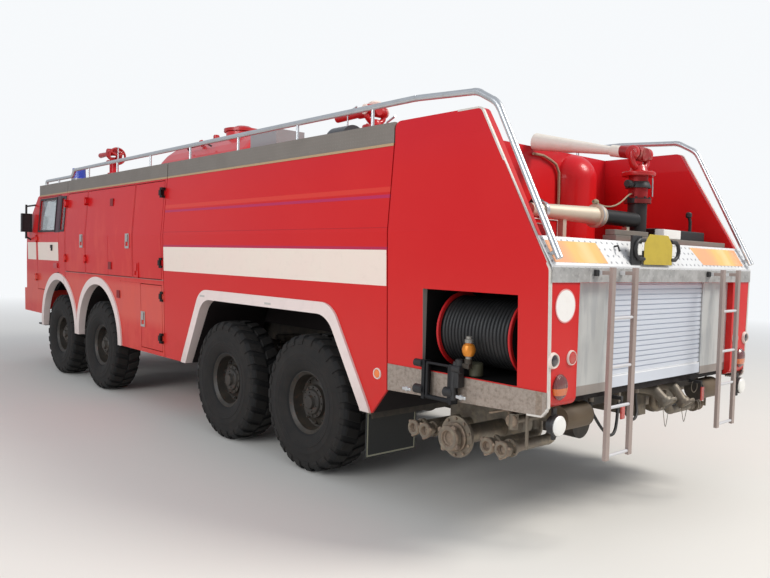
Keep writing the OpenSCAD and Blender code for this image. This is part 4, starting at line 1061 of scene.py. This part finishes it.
# Hose guide and nozzle: a black clamp with silver wing handles on the roller frame, and the
# nozzle with its amber ball standing in it in front of the reel.
Z_UP = (0, 0, 1)
knobs = [drum("knob", at(s, 1.53, z), (-1 if s > 0.9 else 1, 0, 0), 0.034, 0.09, 0.008)
         for s, z in ((1.13, 1.0), (0.74, 1.02))]
knobs += [drum("knob", at(s, 1.53, 1.19), (1, 0, 0), 0.028, 0.08, 0.006) for s in (1.055, 0.675)]
knobs += [cube("clamp", at(0.69, 1.48, 1.06), at(0.765, 1.545, 1.2), 0.006),
          drum("valve", at(0.71, 1.51, 1.16), Z_UP, 0.032, 0.1, 0.006),
          rod("handle", [at(0.735, 1.52, 1.24), at(0.745, 1.535, 1.1), at(0.74, 1.53, 0.97)], 0.02),
          cube("web", at(0.765, 1.505, 1.06), at(0.79, 1.54, 1.12), 0.004)]
both(merge("guide_clamps", knobs), plastic, "trim_black")
wings = []
for s, z in ((1.19, 0.985), (0.65, 1.005)):
    wings += [drum("boss", at(s, 1.545, z), Y_OUT, 0.018, 0.02, 0.004),
              cube("wing", at(s - 0.045, 1.55, z - 0.012), at(s + 0.045, 1.562, z + 0.012), 0.005)]
both(merge("guide_wings", wings), tube, "rail_aluminium")
nozzle = lathe("nozzle", [(0, 0), (0.028, 0), (0.028, 0.03), (0.021, 0.034), (0.021, 0.05), (0.033, 0.054),
                          (0.046, 0.08), (0.048, 0.1), (0.04, 0.128), (0.024, 0.142), (0.03, 0.146),
                          (0.03, 0.168), (0.02, 0.172), (0.02, 0.19), (0, 0.19)], at(0.64, 1.5, 1.235),
               Z_UP, 32)
nozzle_mix = Finish("nozzle_parts", (150, 148, 142), roughness=0.35, metallic=0.4)
nozzle_mix.over(nozzle_mix.z.within(1.286, 1.378), (228, 140, 40))
nozzle_mix.over(nozzle_mix.z.below(1.268), (52, 54, 52))
nozzle_mix.over(nozzle_mix.noise(70, 3) * 0.3, (120, 90, 60))
carrier = cube("carrier", at(0.62, 1.48, 1.2), at(0.7, 1.52, 1.236), 0.005)
both(merge("nozzle", [nozzle, carrier]), nozzle_mix, "valve_metal")
olive = Finish("olive_can", (74, 72, 52), roughness=0.6)
olive.over(olive.noise(20, 4) * 0.5, (52, 50, 40))
both(drum("drip_can", at(0.655, 1.4, 1.1355), Z_UP, 0.05, 0.1, 0.01), olive, "valve_metal")


# Couplings: rusty cast rings with bolts, lugs and caps on the pump outlets, and chains, a ring and
# a clip under the tail.
rust = Finish("rusty_casting", (122, 106, 92), roughness=0.6, metallic=0.25)
rust.spots(26, 5, 0.4, 0.65, 0.7, (164, 144, 122))
rust.spots(50, 4, 0.55, 0.75, 0.5, (66, 54, 46))
rust.raised(rust.noise(140), 0.0008)
castings = []
for s, z, mouth, r, flange in ((0.82, 0.68, 1.5, 0.068, 0.15), (1.142, 0.66, 1.41, 0.042, 0.058),
                               (1.262, 0.66, 1.41, 0.042, 0.058), (0.52, 0.678, 1.43, 0.042, 0.062),
                               (0.39, 0.678, 1.43, 0.042, 0.062)):
    big = r > 0.06
    o = r * 1.25
    castings.append(lathe("collar", [
        (r * 0.6, -0.01), (o + 0.004, -0.012), (o + 0.008, 0.0), (o + 0.004, 0.012), (o * 0.86, 0.016),
        (r * 0.8, 0.012), (r * 0.72, -0.004), (r * 0.6, -0.01)], at(s, mouth - 0.016, z), Y_OUT, 40))
    castings.append(lathe("cap", [
        (0, 0), (r * 0.84, 0), (r * 0.84, 0.012), (r * 0.6, 0.018), (r * 0.3, 0.014), (0, 0.014)],
        at(s, mouth - 0.05, z), Y_OUT, 32))
    for dx, dz in circle(4 if big else 3, 0.35, o + 0.008):
        castings.append(drum("lug", at(s + dx, mouth - 0.035, z + dz), Y_OUT, 0.02 if big else 0.013,
                             0.03, 0.005, 12))
    for dx, dz in circle(10 if big else 6, 0.5, flange - (0.018 if big else 0.009)):
        castings.append(drum("bolt", at(s + dx, mouth - 0.0955, z + dz), Y_OUT, 0.011 if big else 0.006,
                             0.014, 0.002, 6))
castings.append(drum("seat_ring", at(0.82, 1.405, 0.68), Y_OUT, 0.105, 0.022, 0.005, 40))
castings.append(rod("lever", [at(0.4, 1.29, 0.9), at(0.44, 1.33, 0.93), at(0.54, 1.38, 0.9)], 0.009))
castings.append(drum("wheel_hub", at(0.4, 1.3, 0.86), Y_OUT, 0.05, 0.02, 0.006, 24))
both(merge("outlet_castings", castings), rust, "valve_metal")
wires = []
for y in (-0.1, -0.4):
    top = 0.86 if y > -0.2 else 0.82
    wires.append(rod("chain", [at(0.02, y + 0.05, top), at(0.02, y + 0.012, 0.72), at(0.02, y, 0.705),
                               at(0.02, y - 0.012, 0.72), at(0.02, y - 0.05, top)], 0.0025, 2))
    wires.append(ring("cap_band", at(0.0, y, 0.9 if y > -0.2 else 0.86), 0.05, 0.066, 0.02, (-1, 0, -1)))
hoop = [at(0.05, -0.62 + 0.05 * cos(a / 12 * pi), 0.965 + 0.05 * sin(a / 12 * pi))
        for a in range(24)]
wires.append(rod("hoop", hoop + hoop[:1], 0.003, 2))
wires.append(cube("hoop_tab", at(0.04, -0.63, 1.0), at(0.06, -0.61, 1.0195), 0.002))
dress(merge("chains_and_hoop", wires), metal, "valve_metal")


# Well fittings: grey boards, a white box and a flat black box across the plate, two red lockers
# with pale edges, the clamps and plug of the branch pipe, the knot of its cord, and a conduit.
board = Finish("board_grey", (128, 120, 112), roughness=0.75)
board.over(board.noise(6, 5, stretch=(4, 0.6, 4)).ramp(0.4, 0.7) * 0.5, (96, 90, 84))
boards = [cube("board", at(0.15, -1.3, 2.1165), at(0.26, 0.5, 2.16), 0.004),
          cube("board", at(0.16, 0.02, 2.161), at(0.24, 0.5, 2.2), 0.004)]
dress(merge("well_boards", boards), board, "tread_plate")
dress(cube("white_box", at(0.16, -0.5, 2.161), at(0.24, -0.22, 2.235), 0.006), milk, "shutter_aluminium")
box_parts = [cube("flat_box", at(0.29, -1.2, 2.1165), at(0.6, -0.34, 2.25), 0.01),
             rod("grip", [at(0.34, -1.02, 2.24), at(0.34, -1.02, 2.34), at(0.34, -0.99, 2.39)], 0.014),
             drum("knob", at(0.34, -0.99, 2.37), Z_UP, 0.026, 0.05, 0.01)]
dress(merge("flat_black_box", box_parts), plastic, "trim_black")
cases, edges = [], []
for y0, y1, z1, s0, s1 in ((0.56, 1.0, 2.27, 0.62, 1.0), (0.9, 1.3, 2.22, 0.45, 0.6)):
    cases.append(cube("case", at(s0, y0, 2.1165), at(s1, y1, z1), 0.006))
    line = [at(s0 - 0.002, y, z) for y, z in ((y0, 2.12), (y0, z1), (y1, z1), (y1, 2.12))]
    edges.append(rod("edge", line, 0.006, 2))
dress(merge("well_lockers", cases), panel, "body_red")
dress(merge("well_locker_edges", edges), channel, "rail_aluminium")
silver = [ring("clamp", at(0.32, 0.525, 2.3), 0.05, 0.088, 0.03, (0, -1, 0)),
          ring("clamp", at(0.32, 0.485, 2.3), 0.05, 0.086, 0.02, (0, -1, 0)),
          ring("clamp", at(0.32, 1.18, 2.3), 0.05, 0.058, 0.03, (0, -1, 0))]
dress(merge("branch_clamps", silver), tube, "rail_aluminium")
plug = lathe("plug", [(0.03, 0.0), (0.066, 0.0), (0.07, 0.02), (0.062, 0.05), (0.05, 0.052), (0.046, 0.02),
                      (0.03, 0.018), (0.03, 0.0)], at(0.47, 1.05, 2.335), (-0.14, -1, 0), 40)
dress(plug, plastic, "trim_black")
knot = [ring("turn", at(0.32, 0.5 + 0.014 * k, 2.402 + 0.004 * (k % 2)), 0.006, 0.018, 0.014,
             (0.2 * k - 0.2, 1, 0.3)) for k in range(3)]
dress(merge("cord_knot", knot), braid, "rope_cord")
pipe_run = [(-0.15, 2.93), (-0.3, 2.93), (-0.42, 2.9), (-0.5, 2.87), (-0.55, 2.8), (-0.56, 2.62),
            (-0.56, 2.4)]
dress(rod("conduit", [at(1.405, y, z) for y, z in pipe_run], 0.013), braid, "rope_cord")


# Monitor yokes: a cast neck on a bolted flange that divides into two arms, with a boss round each
# end of the trunnion. They stand for the plain heads.
FEET = {"front": at(9.83, 0.4, 3.4543), "mid": at(2.98, 0.4, 3.2543), "rear": at(PIPE_X, PIPE_Y, 2.6553)}
NECK = [(0.043, 0.0), (0.128, 0.0), (0.13, 0.004), (0.13, 0.026), (0.124, 0.032), (0.078, 0.036),
        (0.066, 0.05), (0.06, 0.072), (0.052, 0.088), (0.03, 0.096), (0.0, 0.098)]
ARM = [(0.02, 0.06), (0.075, 0.075), (0.108, 0.105), (0.112, 0.14), (0.112, 0.185)]
BOSS = [(0.0, 0.0), (0.05, 0.0), (0.056, 0.008), (0.056, 0.034), (0.048, 0.044), (0.03, 0.046),
        (0.027, 0.052), (0.0, 0.052)]
for name, foot in FEET.items():
    yoke = [lathe("neck", NECK, foot, Z_UP, 48)]
    for sign in (1, -1):
        yoke.append(rod("arm", [foot + Vector((0, sign * y, z)) for y, z in ARM], 0.028))
        yoke.append(lathe("boss", BOSS, foot + Vector((0, sign * 0.082, 0.18)), (0, sign, 0), 36))
    for x, y in circle(8, 0, 0.105):
        yoke.append(drum("bolt", foot + Vector((x, y, 0.031)), Z_UP, 0.01, 0.011, 0.002, 6))
    head = f"monitor_{name}_head"
    dress(merge(f"yoke_{name}", yoke), cast, "monitor_red", head, head)


# Monitor details: a black joint with its bolts and a rod below the rear one, the hand ring and pin
# of the front one, pale caps and guard rods at the middle one, knobs and a grab bar on the cover.
joint = [ring("joint", at(PIPE_X, PIPE_Y, 2.56), 0.07, 0.098, 0.05, Z_UP),
         drum("port", at(PIPE_X, -0.05, 2.585), Y_OUT, 0.03, 0.07, 0.005)]
joint += [drum("bolt", at(PIPE_X + x, PIPE_Y + y, 2.476), Z_UP, 0.009, 0.014, 0.002, 6)
          for x, y in circle(8, 0.5, 0.09)]
dress(merge("standpipe_joint", joint), plastic, "trim_black")
dress(rod("sight_rod", [at(0.3, -0.27, 2.5), at(0.3, -0.265, 2.62), at(0.3, -0.262, 2.65)], 0.006),
      tube, "rail_aluminium")
hand = [ring("hoop", at(9.7, 0.4, 3.56), 0.115, 0.15, 0.034, X_BACK, 48)]
for a in (0.5, 2.64, 4.71):
    hand.append(rod("spoke", [at(9.684, 0.4 + 0.02 * cos(a), 3.56 + 0.02 * sin(a)),
                              at(9.684, 0.4 + 0.125 * cos(a), 3.56 + 0.125 * sin(a))], 0.018))
hand.append(rod("stem", [at(9.79, 0.4, 3.525), at(9.73, 0.4, 3.55), at(9.68, 0.4, 3.56)], 0.014))
dress(merge("monitor_hand_ring", hand), cast, "monitor_red", "monitor_front_head")
dress(rod("hand_ring_pin", [at(9.66, 0.4, 3.42), at(9.66, 0.4, 3.712)], 0.01), tube,
      "rail_aluminium", "monitor_front_head")
caps = [drum("cap", at(2.98, 0.4 + sign * 0.128, 3.434), (0, sign, 0), 0.052, 0.024, 0.008)
        for sign in (1, -1)]
caps.append(lathe("crown", [(0, 0), (0.07, 0), (0.075, 0.02), (0.05, 0.04), (0, 0.045)], at(2.98, 0.4, 3.49),
                  Z_UP, 32))
dress(merge("monitor_caps", caps), film, "arch_white", "monitor_mid_barrel")
guard = [rod("guard", [at(3.2, 0.58, 2.999), at(3.2, 0.58, 3.42), at(3.08, 0.56, 3.47)], 0.009),
         rod("guard", [at(2.74, 0.55, 2.999), at(2.62, 0.55, 3.26), at(2.5, 0.56, 3.3)], 0.011)]
dress(merge("monitor_guards", guard), tube, "rail_aluminium")
hump_bits = [drum("knob", at(7.0, 0.0, 3.6), Z_UP, 0.045, 0.08, 0.012),
             drum("knob", at(6.75, 0.34, 3.45), (0, 0.5, 1), 0.03, 0.09, 0.01)]
dress(merge("hump_knobs", hump_bits), cast, "monitor_red")
grab = [at(6.9, 0.47, 3.38), at(6.86, 0.52, 3.41), at(6.3, 0.52, 3.42), at(6.26, 0.47, 3.39)]
dress(rod("hump_grab", grab, 0.012), plastic, "trim_black")
